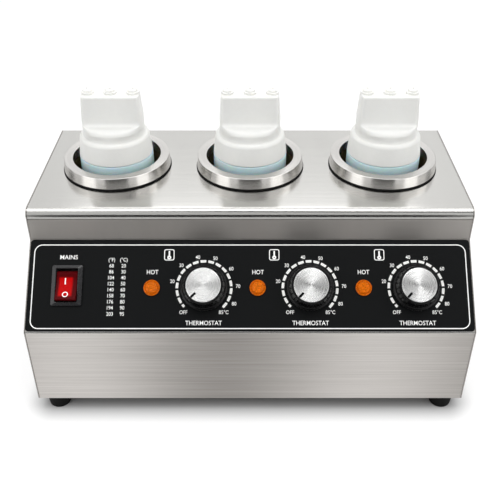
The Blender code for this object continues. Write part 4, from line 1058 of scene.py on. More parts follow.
# Pieces
def lid_holes():
    """Outlines of the well holes in the lid's top and of the screw holes in its rear flange."""
    case, well = settings().case, settings().well
    wells = [(round_hole(well.lid_hole), well_frame(name) @ lifted(LID_HIGH.z)) for name in WELLS]
    screws = []
    for side in SIDES:
        low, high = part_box(f"rear_screw_{side}")
        middle = (low + high) / 2
        place = shifted(middle.x, LID_HIGH.y, middle.z) @ Matrix.Rotation(math.pi / 2, 4, "X")
        screws.append((round_hole(case.screw_hole, steps=32), place))
    return wells, screws


def build_lid(look):
    """Lid: flat top with three holes, a rounded brow, a short front flange and a deeper rear one."""
    case = settings().case
    front, back, top = LID_LOW.y, LID_HIGH.y, LID_HIGH.z
    # The strip with the well holes ends clear of both folds
    corners = [
        (front, top - case.lid_front),
        (front, top),
        (front + 2 * case.brow_radius, top),
        (back - case.brow_radius, top),
        (back, top),
        (back, LID_LOW.z),
    ]
    radii = (case.brow_radius, 0, 0, case.fold_radius)
    shape = folded(corners, radii, LID_HIGH.x, case.sheet, lid_holes())
    straight_grain(shape, (0, 1, 1), (1, 0, 0))
    piece("lid", shape, look, "warmer_case", ["top_cover"])


def wrap_holes():
    """Outlines of the holes for shafts, lamps and the switch in the sloped panel."""
    case = settings().case
    nodes = [f"{kind}_{name}" for kind in ("knob", "lamp_lens") for name in WELLS]
    holes = [(round_hole(case.shaft_hole, steps=48), on_panel(node)) for node in nodes]
    holes.append((square_hole(case.switch_hole, case.switch_hole_length), switch_place()))
    return holes


def build_wrap(look, fold_look, plate_look):
    """Wrap: lower plate, sloped panel with its holes, brow and the shelf under the lid.

    All of it has the first look, apart from the lower fold and the plate below that.
    """
    case = settings().case
    corners = [
        (WRAP_LOW.y, WRAP_LOW.z),
        (WRAP_LOW.y, case.fold_height),
        (LID_LOW.y, case.brow_height),
        (LID_LOW.y, WRAP_HIGH.z),
        (WRAP_HIGH.y, WRAP_HIGH.z),
    ]
    radii = (case.fold_radius, case.fold_radius, case.fold_radius)
    shape = folded(corners, radii, WRAP_HIGH.x, case.sheet, [wrap_holes()])
    straight_grain(shape, (0, 1, 1), (1, 0, 0))
    for face in shape.faces:
        above = face.calc_center_median().z - case.fold_height
        if abs(above) < case.fold_radius / 2:
            face.material_index = 1
        elif above < 0:
            face.material_index = 2
    wrap = piece("wrap", shape, look, "warmer_case", ["front_wrap"])
    wrap.data.materials.append(fold_look)
    wrap.data.materials.append(plate_look)


def build_cheek(name, look):
    """Flat side panel that follows the folds of the lid and the wrap."""
    case = settings().case
    low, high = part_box(f"side_panel_{name}")
    corners = [
        (low.y, low.z, 0),
        (low.y, case.fold_height, case.fold_radius),
        (LID_LOW.y, case.brow_height, case.fold_radius),
        (LID_LOW.y, high.z, case.brow_radius),
        (high.y, high.z, case.fold_radius),
        (high.y, low.z, 0),
    ]
    shape = bmesh.new()
    points = [shape.verts.new((low.x, y, z)) for y, z, _ in corners]
    shape.faces.new(points)
    for (_, _, radius), point in zip(corners, points):
        if radius:
            round_corner(shape, point, radius)
    pulled(shape, (high.x - low.x, 0, 0))
    soften(shape, case.edge_ease, steps=2, edges=sharp_edges(shape, CUT_EDGE))
    straight_grain(shape, (0, 0, 1), (0, 1, 0))
    piece(f"cheek_{name}", shape, look, "warmer_case", [f"side_panel_{name}"])


def round_corner(shape, point, radius):
    """Rounds one corner of a flat outline."""
    ends = [edge.other_vert(point).co - point.co for edge in point.link_edges]
    half = ends[0].angle(ends[1]) / 2
    bmesh.ops.bevel(
        shape,
        geom=[point],
        offset=radius / math.tan(half),
        offset_type="OFFSET",
        segments=10,
        profile=0.5,
        affect="VERTICES",
        material=-1,
    )


def build_feet(look):
    """Four rubber feet, each a short cone with rounded edges."""
    case = settings().case
    top, ease = WRAP_LOW.z - case.foot_gap, case.foot_round
    profile = [(0, top), (case.foot_radius, top)]
    profile += quarter((case.foot_tread - ease, ease), ease, 0, -90)
    profile.append((0, 0))
    for name in ("front_left", "front_right", "rear_left", "rear_right"):
        node, shape = f"foot_{name}", turned(profile)
        piece(f"rubber_{node}", shape, look, "warmer_case", [node], standing(node))


def build_collar(name, look):
    """Turned collar over a cup's flange."""
    well = settings().well
    radius = (COLLAR_HIGH.x - COLLAR_LOW.x) / 2
    low, high = COLLAR_LOW.z, COLLAR_HIGH.z
    profile = [
        (well.bore, high),
        (radius - well.collar_taper, high),
        (radius, low),
        (radius - well.collar_foot, low),
        (radius - well.collar_foot, low + well.flange),
        (well.bore, low + well.flange),
    ]
    shape = soften(turned(profile, ring=True), well.collar_ease, steps=4)
    place = well_frame(name)
    piece(f"collar_{name}", round_grain(shape), look, "warmer_case", [f"well_collar_{name}"], place)


def build_gasket(name, look):
    """Flat rubber gasket with rounded edges."""
    radius = (GASKET_HIGH.x - GASKET_LOW.x) / 2
    bore = settings().well.lid_hole
    low, high = GASKET_LOW.z, GASKET_HIGH.z
    profile = [(bore, high), (radius, high), (radius, low), (bore, low)]
    shape = soften(turned(profile, ring=True), (high - low) / 3)
    place = well_frame(name)
    piece(f"gasket_{name}", shape, look, "warmer_case", [f"well_gasket_{name}"], place)


def build_cup(name, look):
    """Deep cup with a rounded floor and a flange to hang by."""
    well, wall = settings().well, settings().case.sheet
    outer = (CUP_HIGH.x - CUP_LOW.x) / 2
    base, top, corner = CUP_LOW.z, CUP_HIGH.z, well.cup_corner
    floor = base + wall
    profile = [(0, floor)]
    profile += quarter((well.bore - corner, floor + corner), corner, -90, 0)
    profile += [(well.bore, top), (outer, top), (outer, top - wall), (well.bore + wall, top - wall)]
    profile += quarter((well.bore - corner, floor + corner), corner + wall, 0, -90)
    profile.append((0, base))
    place = well_frame(name)
    shape = round_grain(turned(profile))
    piece(f"cup_{name}", shape, look, "warmer_case", [f"well_cup_{name}"], place)


def build_bottle(name, look):
    """Open bottle with a rounded foot, a shoulder and a neck."""
    bottle = settings().bottle
    radius = (BOTTLE_HIGH.x - BOTTLE_LOW.x) / 2
    foot, mouth, wall, corner = BOTTLE_LOW.z, BOTTLE_HIGH.z, bottle.wall, bottle.foot_round
    centre = (radius - wall - corner, foot + wall + corner)
    inner_neck = bottle.neck - wall
    ease = wall / 2
    profile = [(0, foot + wall)]
    profile += quarter(centre, corner, -90, 0)
    profile += [(radius - wall, bottle.shoulder - wall), (inner_neck, bottle.shoulder)]
    profile += [(inner_neck, mouth - ease / 2), (inner_neck + ease / 2, mouth)]
    profile += [(bottle.neck - ease / 2, mouth), (bottle.neck, mouth - ease / 2)]
    profile.append((bottle.neck, bottle.shoulder))
    profile += quarter((radius - ease, bottle.shoulder - ease), ease, 90, 0)
    profile += quarter((radius - corner, foot + corner), corner, 0, -90)
    profile.append((0, foot))
    body = f"squeeze_bottle_{name}"
    piece(f"bottle_body_{name}", turned(profile), look, body, [f"bottle_{name}"], well_frame(name))


def spout_half_depth(height):
    """Half depth of the spout at a height over the cap's foot, or nothing where it is round."""
    bottle = settings().bottle
    start = bottle.skirt_height + bottle.column_height
    end, hollow = start + bottle.bulge, bottle.fillet
    if height <= start:
        return None
    if height < end:
        share = (height - start) / bottle.bulge
        ledge = bottle.face_foot + hollow
        return ledge + (bottle.column - ledge) * math.sqrt(1 - share**2)
    if height < end + hollow:
        return bottle.face_foot + hollow - math.sqrt(hollow**2 - (end + hollow - height) ** 2)
    rise = (height - end - hollow) / (bottle.spout_height - bottle.spout_round - end - hollow)
    return bottle.face_foot + (bottle.face_top - bottle.face_foot) * min(1, rise)


def pressed(point, half_depth, radius, fullness=6):
    """A point of a round ring pressed flat in front and behind."""
    squeeze = (radius / half_depth) ** fullness - 1
    point.co.y /= (1 + squeeze * abs(point.co.y / radius) ** fullness) ** (1 / fullness)


def squared(point, power=2.35):
    """A point of a round ring moved out a little towards the corners of a square."""
    radius = point.co.xy.length
    if radius > WELD:
        across, deep = abs(point.co.x / radius), abs(point.co.y / radius)
        point.co.xy *= (across**power + deep**power) ** (-1 / power)


def cap_profile():
    """Outer profile of a cap from its foot to the middle of its top."""
    bottle = settings().bottle
    rounding, shoulder, column = bottle.skirt_round, bottle.skirt_height, bottle.column
    foot = (CAP_HIGH.x - CAP_LOW.x) / 2 - bottle.skirt_inset
    points = [(foot, bottle.skirt_gap), (bottle.skirt_top, shoulder - rounding)]
    middle = (bottle.skirt_top - rounding, shoulder - rounding)
    points += quarter(middle, rounding, 8, 82, steps=8)
    waist = shoulder + bottle.cove_foot
    points += [(column + bottle.cove, shoulder), (column + bottle.cove_waist, waist)]
    start = shoulder + bottle.column_height
    end = start + bottle.bulge
    # The bulge and the hollow are round here. build_cap presses them to the spout's form.
    bulge = [math.sin(math.radians(degrees)) for degrees in range(9, 90, 9)]
    hollow = [1 - math.cos(math.radians(degrees)) for degrees in range(18, 90, 12)]
    heights = [waist + bottle.cove_rise, start]
    heights += [start + bottle.bulge * share for share in (*bulge, 1)]
    heights += [end + bottle.fillet * share for share in hollow]
    points += [(column, height) for height in heights]
    foot, top = end + bottle.fillet, bottle.spout_height - bottle.spout_round
    for step in range(7):
        share = step / 6
        points.append((column + (bottle.spout_top - column) * share, foot + (top - foot) * share))
    # The top's rounding is narrower than it is high
    for degrees in range(18, 91, 18):
        turn = math.radians(degrees)
        inset = 0.6 * bottle.spout_round * (1 - math.cos(turn))
        points.append((bottle.spout_top - inset, top + bottle.spout_round * math.sin(turn)))
    points.append((0, bottle.spout_height))
    return points


def build_cap(name, look):
    """White cap: skirt with a rounded shoulder, a groove and a spout pressed flat on two sides."""
    bottle = settings().bottle
    shape = turned(cap_profile())
    top = bottle.spout_height - bottle.spout_round
    foot = bottle.skirt_height + bottle.column_height + bottle.bulge + bottle.fillet
    for point in shape.verts:
        half = spout_half_depth(point.co.z)
        if half is None:
            continue
        rise = max(0, (point.co.z - foot) / (top - foot))
        radius = bottle.column + (bottle.spout_top - bottle.column) * rise
        if point.co.z > top:
            lift = (point.co.z - top) / bottle.spout_round
            half -= bottle.spout_round * (1 - math.sqrt(max(0, 1 - lift**2)))
            radius = bottle.spout_top
        squared(point)
        pressed(point, half, radius)
    thicken(shape, bottle.wall)
    place = well_frame(name) @ lifted(CAP_LOW.z)
    body, limit = f"cap_{name}", math.radians(50)
    piece(f"cap_shell_{name}", shape, look, body, [f"bottle_cap_{name}"], place, limit)
    build_nozzles(name, look)


def build_nozzles(name, look):
    """Three stepped nozzles in a row on a cap."""
    bottle = settings().bottle
    top = CAP_LOW.z + bottle.spout_height
    tip, step, foot = CAP_HIGH.z - top, bottle.nozzle_step, -bottle.wall / 2
    profile = [
        (bottle.nozzle_bore, tip),
        (bottle.nozzle_mouth, tip),
        (bottle.nozzle_tip, tip * bottle.nozzle_taper),
        (bottle.nozzle_tip, step),
        (bottle.nozzle, step),
        (bottle.nozzle, foot),
        (bottle.nozzle_bore, foot),
    ]
    shapes = []
    for side in (-1, 0, 1):
        shape = soften(turned(profile, ring=True, steps=48), SMALL_EASE)
        shapes.append(moved(shape, shifted(side * bottle.nozzle_pitch, 0, top)))
    piece(f"nozzles_{name}", joined(shapes), look, f"cap_{name}", place=well_frame(name))


def build_knob(name, look):
    """Knob with a thin skirt, a tapered grip and a seat for its disc."""
    control = settings().control
    base, cove = control.knob_base, control.grip_cove
    top, skirt = base + control.knob_height, base + control.knob_skirt
    bore = base + control.knob_bore_depth
    seat = top - control.disc_thickness - control.disc_gap
    rim = control.disc + control.disc_gap
    profile = [
        (0, seat),
        (rim, seat),
        (rim, top),
        (control.knob_top, top),
        (control.knob_grip, skirt + cove / 2),
        (control.knob_grip + cove, skirt),
        (control.knob, skirt - control.skirt_fall),
        (control.knob, base),
        (control.knob_bore, base),
        (control.knob_bore, bore),
        (0, bore),
    ]
    shape = soften(turned(profile), control.ease)
    piece(f"grip_{name}", shape, look, f"dial_{name}", [f"knob_{name}"], on_panel(f"knob_{name}"))


def build_disc(name, look):
    """Spun disc let into the knob."""
    control = settings().control
    top = control.knob_base + control.knob_height
    back = top - control.disc_thickness
    profile = [(0, top), (control.disc, top), (control.disc, back), (0, back)]
    shape = round_grain(soften(turned(profile), control.ease))
    node = f"knob_disc_{name}"
    piece(f"disc_{name}", shape, look, f"dial_{name}", [node], on_panel(f"knob_{name}"))


def build_mark(name, look):
    """Black pointer mark let into the disc, from its rim inwards, set at OFF."""
    control = settings().control
    start, end = control.mark_start, control.disc - control.mark_inset
    shape = flat(end - start, control.mark, corner=control.mark * 0.3, steps=5)
    raised(shape, control.mark_sink + MARK_LIFT)
    foot = control.knob_base + control.knob_height - control.mark_sink
    turn = Matrix.Rotation(OFF_ANGLE, 4, "Z")
    place = on_panel(f"knob_{name}") @ turn @ shifted((start + end) / 2, 0, foot)
    piece(f"mark_{name}", shape, look, f"dial_{name}", place=place)


def build_lens(name, look):
    """Amber lens: a faceted dome in a round rim, with a barrel behind the panel."""
    control = settings().control
    base, dome_edge = control.lens_base, control.lens - control.lens_rim
    top, back = base + control.lens_height, base - control.barrel_length
    barrel, bore = control.barrel, control.barrel - control.barrel_wall
    dome = [
        (0, top),
        (control.lens_flat, top),
        (control.lens_top, top - control.lens_ease),
        (dome_edge, base + control.lens_side),
        (dome_edge, base),
        (0, base),
    ]
    rim = [(control.lens - control.lens_rim * share, base + rise) for share, rise in LENS_RIM]
    ring = [(barrel, base), (barrel, back), (bore, back), (bore, rim[0][1]), *rim]
    node = f"lamp_lens_{name}"
    shapes = [turned(dome, steps=10), turned(ring, ring=True, steps=64)]
    place = on_panel(node)
    limit = math.radians(12)
    piece(f"lens_{name}", joined(shapes), look, "warmer_case", [node], place, limit)


def build_switch(look):
    """Switch housing: a bezel that falls from a thin rim to the rocker's room."""
    control = settings().control
    base, lip, corner = control.lens_base, control.bezel_lip, control.bezel_corner
    top = base + control.bezel_height
    edge, crest = top - control.bezel_dip, 2 * control.bezel_rim
    width, tall = control.bezel_width, control.bezel_length
    across, along, inner = control.room_width, control.room_length, control.room_corner
    room = (across, along, inner)
    housing = (control.housing_width, control.housing_length, control.housing_corner)
    rings = [
        (*housing, -control.housing_depth),
        (*housing, base),
        (width, tall, corner, base),
        (width, tall, corner, edge - lip),
        (width - lip * 0.5, tall - lip * 0.5, corner - lip * 0.25, edge - lip * 0.3),
        (width - lip * 2, tall - lip * 2, corner - lip * 0.5, edge),
        (across + crest, along + crest, inner + crest / 2, top),
        (across + crest * 0.3, along + crest * 0.3, inner + crest / 6, top - lip * 0.3),
        (*room, top - lip),
        (*room, top - control.room_depth),
    ]
    piece("switch_frame", lofted(rings), look, "warmer_case", ["switch_housing"], switch_place())


def rocker_frame():
    """Frame of the rocker at rest, on its pivot and tilted."""
    control = settings().control
    pivot = control.lens_base + control.bezel_height - control.rocker_sink - control.rocker_depth
    return switch_place() @ lifted(pivot) @ Matrix.Rotation(-control.rocker_tilt, 4, "X")


def build_rocker(look):
    """Rocker of two faces that slope to its middle, with rounded edges."""
    control = settings().control
    head, foot, slant = control.rocker_head, control.rocker_foot, control.rocker_slant
    depth, end, waist = control.rocker_depth, control.rocker_end, control.rocker_waist
    back, rise = depth - control.rocker_body, math.tan(control.rocker_tilt)
    outline = [
        (-foot, depth + foot * rise - end),
        (-waist, back),
        (waist, back),
        (head, depth + head * rise - end),
        (head, depth + head * rise - slant),
        (head - slant, depth + (head - slant) * rise),
        (0, depth),
        (-foot, depth + foot * rise),
    ]
    shape = bmesh.new()
    shape.faces.new([shape.verts.new((-control.rocker_width / 2, y, z)) for y, z in outline])
    pulled(shape, (control.rocker_width, 0, 0))
    soften(shape, control.ease)
    piece("lit_rocker", shape, look, "rocker", ["switch_rocker"], rocker_frame())


def build_rocker_marks(look):
    """Bar and circle on the rocker's two faces."""
    control = settings().control
    width, tall, corner = BAR
    bar = raised(flat(width, tall, corner, steps=4), MARK_LIFT)
    circle = raised(washer(*CIRCLE, steps=48), MARK_LIFT)
    for shape, (across, along) in ((bar, BAR_PLACE), (circle, CIRCLE_PLACE)):
        slope = math.copysign(control.rocker_tilt, along)
        height = control.rocker_depth + along * math.tan(slope)
        moved(shape, shifted(across, along, height) @ Matrix.Rotation(slope, 4, "X"))
    piece("rocker_marks", joined([bar, circle]), look, "rocker", place=rocker_frame())


# Print of the panel
def lettering(words, height, width=None):
    """Words as a flat shape, centred on the origin. A width squeezes or stretches them to it."""
    printing = settings().printing
    curve = bpy.data.curves.new("words", "FONT")
    curve.body = words
    curve.resolution_u = 3
    curve.offset = printing.letter_weight
    obj = linked("words", curve)
    bpy.context.view_layer.update()
    mesh = bpy.data.meshes.new_from_object(obj.evaluated_get(bpy.context.evaluated_depsgraph_get()))
    bpy.data.objects.remove(obj)
    bpy.data.curves.remove(curve)
    shape = bmesh.new()
    shape.from_mesh(mesh)
    bpy.data.meshes.remove(mesh)
    low = Vector([min(point.co[axis] for point in shape.verts) for axis in range(3)])
    high = Vector([max(point.co[axis] for point in shape.verts) for axis in range(3)])
    grow = height / (CAPITAL + 2 * printing.letter_weight)
    across = width / (high.x - low.x) if width else grow * printing.letter_width
    moved(shape, shifted(-(low.x + high.x) / 2, -CAPITAL / 2))
    return moved(tidy(shape), Matrix.Diagonal((across, grow, 1, 1)))


def printed_words(words, x, y, height, width=None):
    """Words printed at a place on the panel."""
    return moved(lettering(words, height, width), shifted(x, y))


def printed_name(x, words, across, rise, width):
    """A word that names a control whose place across the panel is given."""
    return printed_words(words, x + across, rise, settings().printing.word_height, width)


def dial_ring():
    """Dashes of a dial's ring, counted from its hot end. The last one, at OFF, is shorter."""
    printing = settings().printing
    inner, gap = printing.ring - printing.ring_width, printing.dash_gap / printing.ring
    dashes = []
    turn = RING_START
    while turn < RING_END:
        stop = min(turn + RING_STEP, RING_END)
        dash = washer(inner, printing.ring, steps=5, turn=stop - turn - gap)
        dashes.append(moved(dash, Matrix.Rotation(turn + gap / 2, 4, "Z")))
        turn += RING_STEP
    return dashes


def dial_print(x, y):
    """Dashed ring, numbers and word of one dial."""
    size = settings().printing.number_height
    shapes = [moved(dash, shifted(x, y)) for dash in dial_ring()]
    for number, degrees, away in DIAL_NUMBERS:
        turn = math.radians(degrees)
        across, up = away * math.cos(turn), away * math.sin(turn)
        shapes.append(printed_words(str(number), x + across, y + up, size))
    shapes += [printed_words(words, x + across, y + up, size) for words, across, up in DIAL_ENDS]
    shapes.append(printed_name(x, *DIAL_WORD))
    return shapes


def thermometer(x, y):
    """Thermometer sign in a rounded frame."""
    width, tall, corner = SIGN_STEM
    bulb = moved(washer(*SIGN_BULB, steps=24), shifted(0, BULB_RISE))
    stem = moved(flat(width, tall, corner, steps=5), shifted(0, STEM_RISE))
    return [moved(shape, shifted(x, y)) for shape in (framed(*SIGN_FRAME), bulb, stem)]


def conversion_table():
    """Columns of degrees Fahrenheit and Celsius."""
    rows = [("(°F)", "(°C)", TABLE_HEAD)]
    for row, (warm, cold) in enumerate(zip(FAHRENHEIT, CELSIUS)):
        rows.append((str(warm), str(cold), TABLE_TOP - TABLE_STEP * row))
    size = settings().printing.number_height
    shapes = []
    for *words, y in rows:
        shapes += [printed_words(word, x, y, size) for word, x in zip(words, TABLE_COLUMNS)]
    return shapes


def build_print(look):
    """All the print of the panel: border line, dials, signs, words and the table of degrees."""
    printing = settings().printing
    foot, head = printing.border_foot, printing.border_head
    border = framed(2 * printing.border_reach, head - foot, printing.border, printing.border_corner)
    shapes = [moved(border, shifted(0, (head + foot) / 2))]
    sign_across, sign_rise = SIGN_PLACE
    for name in WELLS:
        x = middle_x(f"knob_{name}")
        shapes += dial_print(x, settings().control.rise)
        shapes += thermometer(x + sign_across, sign_rise)
        shapes.append(printed_name(middle_x(f"lamp_lens_{name}"), *LAMP_WORD))
    shapes.append(printed_name(middle_x("switch_rocker"), *SWITCH_WORD))
    shapes += conversion_table()
    whole = raised(joined(shapes), printing.ink_depth)
    place = panel_frame() @ lifted(printing.overlay_top + PRINT_LIFT)
    piece("panel_print", whole, look, "warmer_case", place=place)


def build_pins(look):
    """Three nickel-plated pins in the mains inlet."""
    low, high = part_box("mains_inlet")
    turn = Matrix.Rotation(math.pi / 2, 4, "X")
    shapes = []
    for x, z in PIN_PLACES:
        shape = soften(boxed(PIN_WIDTH, PIN_HEIGHT, -PIN_HALF, PIN_HALF), SMALL_EASE, steps=2)
        shapes.append(moved(shape, shifted(x, -PIN_FORWARD, z) @ turn))
    place = Matrix.Translation((low + high) / 2)
    piece("inlet_pins", joined(shapes), look, "warmer_case", place=place)


def dress(look, *nodes):
    """Gives a material to CAD nodes that stay."""
    for node in nodes:
        materials = bpy.data.objects[node].data.materials
        materials.clear()
        materials.append(look)


# Stage
def soft_light(name, place, size, radiance):
    """A large soft lamp that faces the warmer. Its power gives the radiance asked for."""
    lamp = bpy.data.lights.new(name, "AREA")
    lamp.shape = "RECTANGLE"
    lamp.size, lamp.size_y = size
    lamp.energy = radiance * math.pi * size[0] * size[1]
    obj = linked(name, lamp)
    obj.location = place
    obj.rotation_euler = (ROOM_MIDDLE - place).to_track_quat("-Z", "Y").to_euler()


def outside(tree, value, low, high):
    """How far a coordinate lies outside a range."""
    below = add_node(tree, "ShaderNodeMath", {0: low, 1: value}, operation="SUBTRACT")
    above = add_node(tree, "ShaderNodeMath", {0: value, 1: high}, operation="SUBTRACT")
    inputs = {0: below.outputs[0], 1: above.outputs[0]}
    most = add_node(tree, "ShaderNodeMath", inputs, operation="MAXIMUM")
    inputs = {0: most.outputs[0], 1: 0}
    return add_node(tree, "ShaderNodeMath", inputs, operation="MAXIMUM").outputs[0]


def floor_glow(tree):
    """Light that the floor shows of itself: none by the case and full further off. Its fade round the
    case's outline is painted shade over the real shadow there.
    """
    stage = settings().stage
    under = stage.glow_under
    axes = add_node(tree, "ShaderNodeSeparateXYZ", {"Vector": object_places(tree)})
    across = outside(tree, axes.outputs["X"], under - WRAP_HIGH.x, WRAP_HIGH.x - under)
    along = outside(tree, axes.outputs["Y"], WRAP_LOW.y + under, LID_HIGH.y - under)
    way = add_node(tree, "ShaderNodeCombineXYZ", {"X": across, "Y": along}).outputs["Vector"]
    away = add_node(tree, "ShaderNodeVectorMath", {0: way}, operation="LENGTH").outputs["Value"]
    inputs = {"Value": away, "From Max": stage.glow_reach, "To Max": stage.floor_glow}
    share = add_node(tree, "ShaderNodeMapRange", inputs, interpolation_type="SMOOTHSTEP")
    inputs = {0: rays_that_see(tree), 1: share.outputs["Result"]}
    return add_node(tree, "ShaderNodeMath", inputs, operation="MULTIPLY").outputs[0]


def build_floor():
    """Pale table that is white to the camera and keeps the warmer's real shadow, with painted shade
    where its glow fades out round the case.
    """
    stage = settings().stage
    look = bpy.data.materials.new("studio_floor")
    look.use_nodes = True
    tree = look.node_tree
    tree.nodes.clear()
    paint = add_node(tree, "ShaderNodeBsdfDiffuse", {"Color": (*stage.floor, 1)})
    glow = add_node(tree, "ShaderNodeEmission", {"Strength": floor_glow(tree)})
    both = add_node(tree, "ShaderNodeAddShader", {0: paint.outputs[0], 1: glow.outputs[0]})
    add_node(tree, "ShaderNodeOutputMaterial", {"Surface": both.outputs[0]})
    size = stage.floor_size
    stage_sheet("floor", size, size, look, shifted(0, size / 2 - stage.floor_front))


def stage_sheet(name, width, height, look, place):
    """A flat sheet of the stage."""
    obj = solid(name, moved(flat(width, height), place), look)
    return obj


def felt(name, shade):
    """Dyed wool felt: dull, with a soft mottle."""
    return mottled(name, shade, roughness=0.9, grain=0.003, depth=0.0002)


def build_cards():
    """Felt cards that the metal mirrors as its dark and grey parts. The camera doesn't see them."""
    stage = settings().stage
    felts = {"black": felt("black_felt", stage.card), "grey": felt("grey_felt", stage.grey_card)}
    for name, turn, rise, away, size, lean, shade in CARDS:
        place = room_place(turn, rise, away)
        facing = (ROOM_MIDDLE - place).to_track_quat("Z", "Y").to_matrix().to_4x4()
        facing @= Matrix.Rotation(math.radians(lean), 4, "Z")
        card = stage_sheet(name, *size, felts[shade], Matrix.Translation(place) @ facing)
        card.visible_camera = False


def rays_that_see(tree):
    """One for rays that show a surface: from the camera, in a mirror or through glass."""
    path = add_node(tree, "ShaderNodeLightPath")
    seen = path.outputs["Is Camera Ray"]
    for kind in ("Is Glossy Ray", "Is Transmission Ray"):
        inputs = {0: seen, 1: path.outputs[kind]}
        seen = add_node(tree, "ShaderNodeMath", inputs, operation="MAXIMUM").outputs[0]
    return seen


def build_world():
    """White room. What it lights is lit at a lower level than it shows."""
    world = bpy.data.worlds.new("studio")
    bpy.context.scene.world = world
    world.use_nodes = True
    tree = world.node_tree
    tree.nodes.clear()
    inputs = {"Value": rays_that_see(tree), "To Min": settings().stage.room_light, "To Max": 1}
    strength = add_node(tree, "ShaderNodeMapRange", inputs).outputs["Result"]
    light = add_node(tree, "ShaderNodeBackground", {"Color": (1, 1, 1, 1), "Strength": strength})
    add_node(tree, "ShaderNodeOutputWorld", {"Surface": light.outputs[0]})


def room_place(turn, rise, away):
    """A point round the warmer: degrees from its front, degrees up, and metres away."""
    turn, rise = math.radians(turn), math.radians(rise)
    level = away * math.cos(rise)
    way = Vector((level * math.sin(turn), -level * math.cos(turn), away * math.sin(rise)))
    return ROOM_MIDDLE + way


def build_lights():
    """Soft boxes round the warmer."""
    for name, turn, rise, away, size, radiance in LAMPS:
        soft_light(name, room_place(turn, rise, away), size, radiance)


def build_camera():
    """Camera at the photograph's place and angle."""
    stage = settings().stage
    data = bpy.data.cameras.new("camera")
    data.lens = stage.lens
    data.sensor_width = 36
    obj = linked("camera", data)
    obj.location = (0, -stage.camera_distance, stage.camera_height)
    obj.rotation_euler = (math.pi / 2 - stage.camera_tilt, 0, 0)
    bpy.context.scene.camera = obj
    bpy.context.scene.view_settings.view_transform = "Standard"


class WARMER_OT_case(Operator):
    """Build the lid, the wrap, the side panels and the feet"""

    bl_idname = "warmer.case"
    bl_label = "Case"

    def execute(self, context):
        case = settings().case
        # The dull colours are the lid's steel painted darker: painted shade on the wrap, the side
        # panels, the rear panel and the base plate. The lower fold keeps the lid's steel.
        bright, dull = (case.steel_streak, case.steel), (case.wrap_streak, case.wrap_steel)
        sheet = brushed_steel("stainless_brushed_across", "X", bright, (0.15, 0.21))
        front = brushed_steel("stainless_dull_painted_darker_across", "X", dull, (0.5, 0.6))
        # The lower plate's bands are painted reflections
        plate_reflection_colours, bands = (case.plate_steel, case.plate_band), (case.band_pitch, case.band_middle)
        plate = brushed_steel("stainless_painted_reflection_bands", "X", plate_reflection_colours, (0.46, 0.56), bands=bands)
        cheek = brushed_steel("stainless_brushed_painted_darker_along", "Y", dull, (0.24, 0.32))
        build_lid(sheet)
        build_wrap(front, sheet, plate)
        for name in SIDES:
            build_cheek(name, cheek)
        build_feet(rubber())
        plain = brushed_steel("stainless_sheet_painted_darker", "X", dull, (0.28, 0.36), tangent=False)
        dress(plain, "rear_panel", "base_plate")
        dress(plated_steel(), "rear_screw_left", "rear_screw_right")
        return {"FINISHED"}


class WARMER_OT_wells(Operator):
    """Build the collar, the gasket and the cup of each well"""

    bl_idname = "warmer.wells"
    bl_label = "Wells"

    def execute(self, context):
        bright, seal, brown = turned_steel(), rubber(), heated_steel()
        for name in WELLS:
            build_collar(name, bright)
            build_gasket(name, seal)
            build_cup(name, brown)
        return {"FINISHED"}


class WARMER_OT_bottles(Operator):
    """Build the squeeze bottles and their caps"""

    bl_idname = "warmer.bottles"
    bl_label = "Bottles and caps"

    def execute(self, context):
        milky, white = bottle_plastic(), cap_plastic()
        for name in WELLS:
            build_bottle(name, milky)
            build_cap(name, white)
        return {"FINISHED"}


class WARMER_OT_dials(Operator):
    """Build the knobs with their discs and pointer marks"""

    bl_idname = "warmer.dials"
    bl_label = "Dials"

    def execute(self, context):
        black, spun, mark = knob_plastic(), spun_aluminium(), overlay_film()
        for name in WELLS:
            build_knob(name, black)
            build_disc(name, spun)
            build_mark(name, mark)
        return {"FINISHED"}


class WARMER_OT_lamps(Operator):
    """Build the amber lenses"""

    bl_idname = "warmer.lamps"
    bl_label = "Lamps"

    def execute(self, context):
        amber, glass = amber_lens(), neon_glass()
        for name in WELLS:
            build_lens(name, amber)
            dress(glass, f"neon_lamp_{name}")
        return {"FINISHED"}


class WARMER_OT_switch(Operator):
    """Build the switch housing and its rocker"""

    bl_idname = "warmer.switch"
    bl_label = "Switch"

    def execute(self, context):
        build_switch(black_moulding())
        build_rocker(red_rocker())
        build_rocker_marks(printed_ink())
        return {"FINISHED"}


class WARMER_OT_print(Operator):
    """Build the print of the panel"""

    bl_idname = "warmer.print"
    bl_label = "Panel print"

    def execute(self, context):
        build_print(printed_ink())
        dress(overlay_film(), "control_overlay")
        return {"FINISHED"}


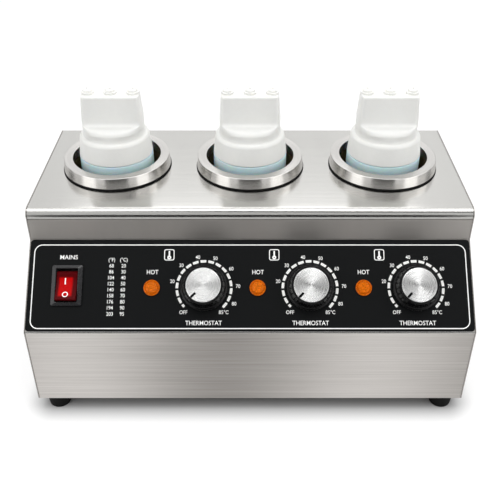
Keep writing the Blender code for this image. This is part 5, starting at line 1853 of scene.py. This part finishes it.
class WARMER_OT_inside(Operator):
    """Give the pieces inside the case and the inlet their materials"""

    bl_idname = "warmer.inside"
    bl_label = "Inside and inlet"

    def execute(self, context):
        metal, tube, sleeve, black = plated_steel(), copper(), silicone(), black_moulding()
        for name in WELLS:
            dress(metal, f"band_heater_{name}", f"control_shaft_{name}")
            dress(tube, f"thermostat_bulb_{name}")
            dress(black, f"thermostat_body_{name}")
            dress(sleeve, f"heater_lead_{name}")
        dress(black, "mains_inlet")
        dress(sleeve, "inlet_lead")
        dress(cream_moulding(), "terminal_block")
        build_pins(metal)
        return {"FINISHED"}


class WARMER_OT_stage(Operator):
    """Build the floor, the light and the camera"""

    bl_idname = "warmer.stage"
    bl_label = "Stage"

    def execute(self, context):
        build_floor()
        build_cards()
        build_world()
        build_lights()
        build_camera()
        return {"FINISHED"}


class WARMER_PT_pieces(Panel):
    """Lists the warmer's operators"""

    bl_idname = "WARMER_PT_pieces"
    bl_label = "Topping warmer"
    bl_space_type = "VIEW_3D"
    bl_region_type = "UI"
    bl_category = "Warmer"

    def draw(self, context):
        for operator in OPERATORS:
            self.layout.operator(operator.bl_idname)


OPERATORS = (
    WARMER_OT_case,
    WARMER_OT_wells,
    WARMER_OT_bottles,
    WARMER_OT_dials,
    WARMER_OT_lamps,
    WARMER_OT_switch,
    WARMER_OT_print,
    WARMER_OT_inside,
    WARMER_OT_stage,
)
GROUPS = (
    CaseSettings,
    WellSettings,
    BottleSettings,
    PrintSettings,
    ControlSettings,
    StageSettings,
    WarmerSettings,
)


def register():
    """Registers the add-on's classes and settings."""
    for item in (*GROUPS, *OPERATORS, WARMER_PT_pieces):
        bpy.utils.register_class(item)
    bpy.types.Scene.topping_warmer = PointerProperty(type=WarmerSettings)


def unregister():
    """Removes the add-on's classes and settings."""
    del bpy.types.Scene.topping_warmer
    for item in reversed((*GROUPS, *OPERATORS, WARMER_PT_pieces)):
        bpy.utils.unregister_class(item)


def main():
    """Builds every piece and the stage."""
    register()
    bpy.ops.warmer.case()
    bpy.ops.warmer.wells()
    bpy.ops.warmer.bottles()
    bpy.ops.warmer.dials()
    bpy.ops.warmer.lamps()
    bpy.ops.warmer.switch()
    bpy.ops.warmer.print()
    bpy.ops.warmer.inside()
    bpy.ops.warmer.stage()


if __name__ == "__main__":
    main()
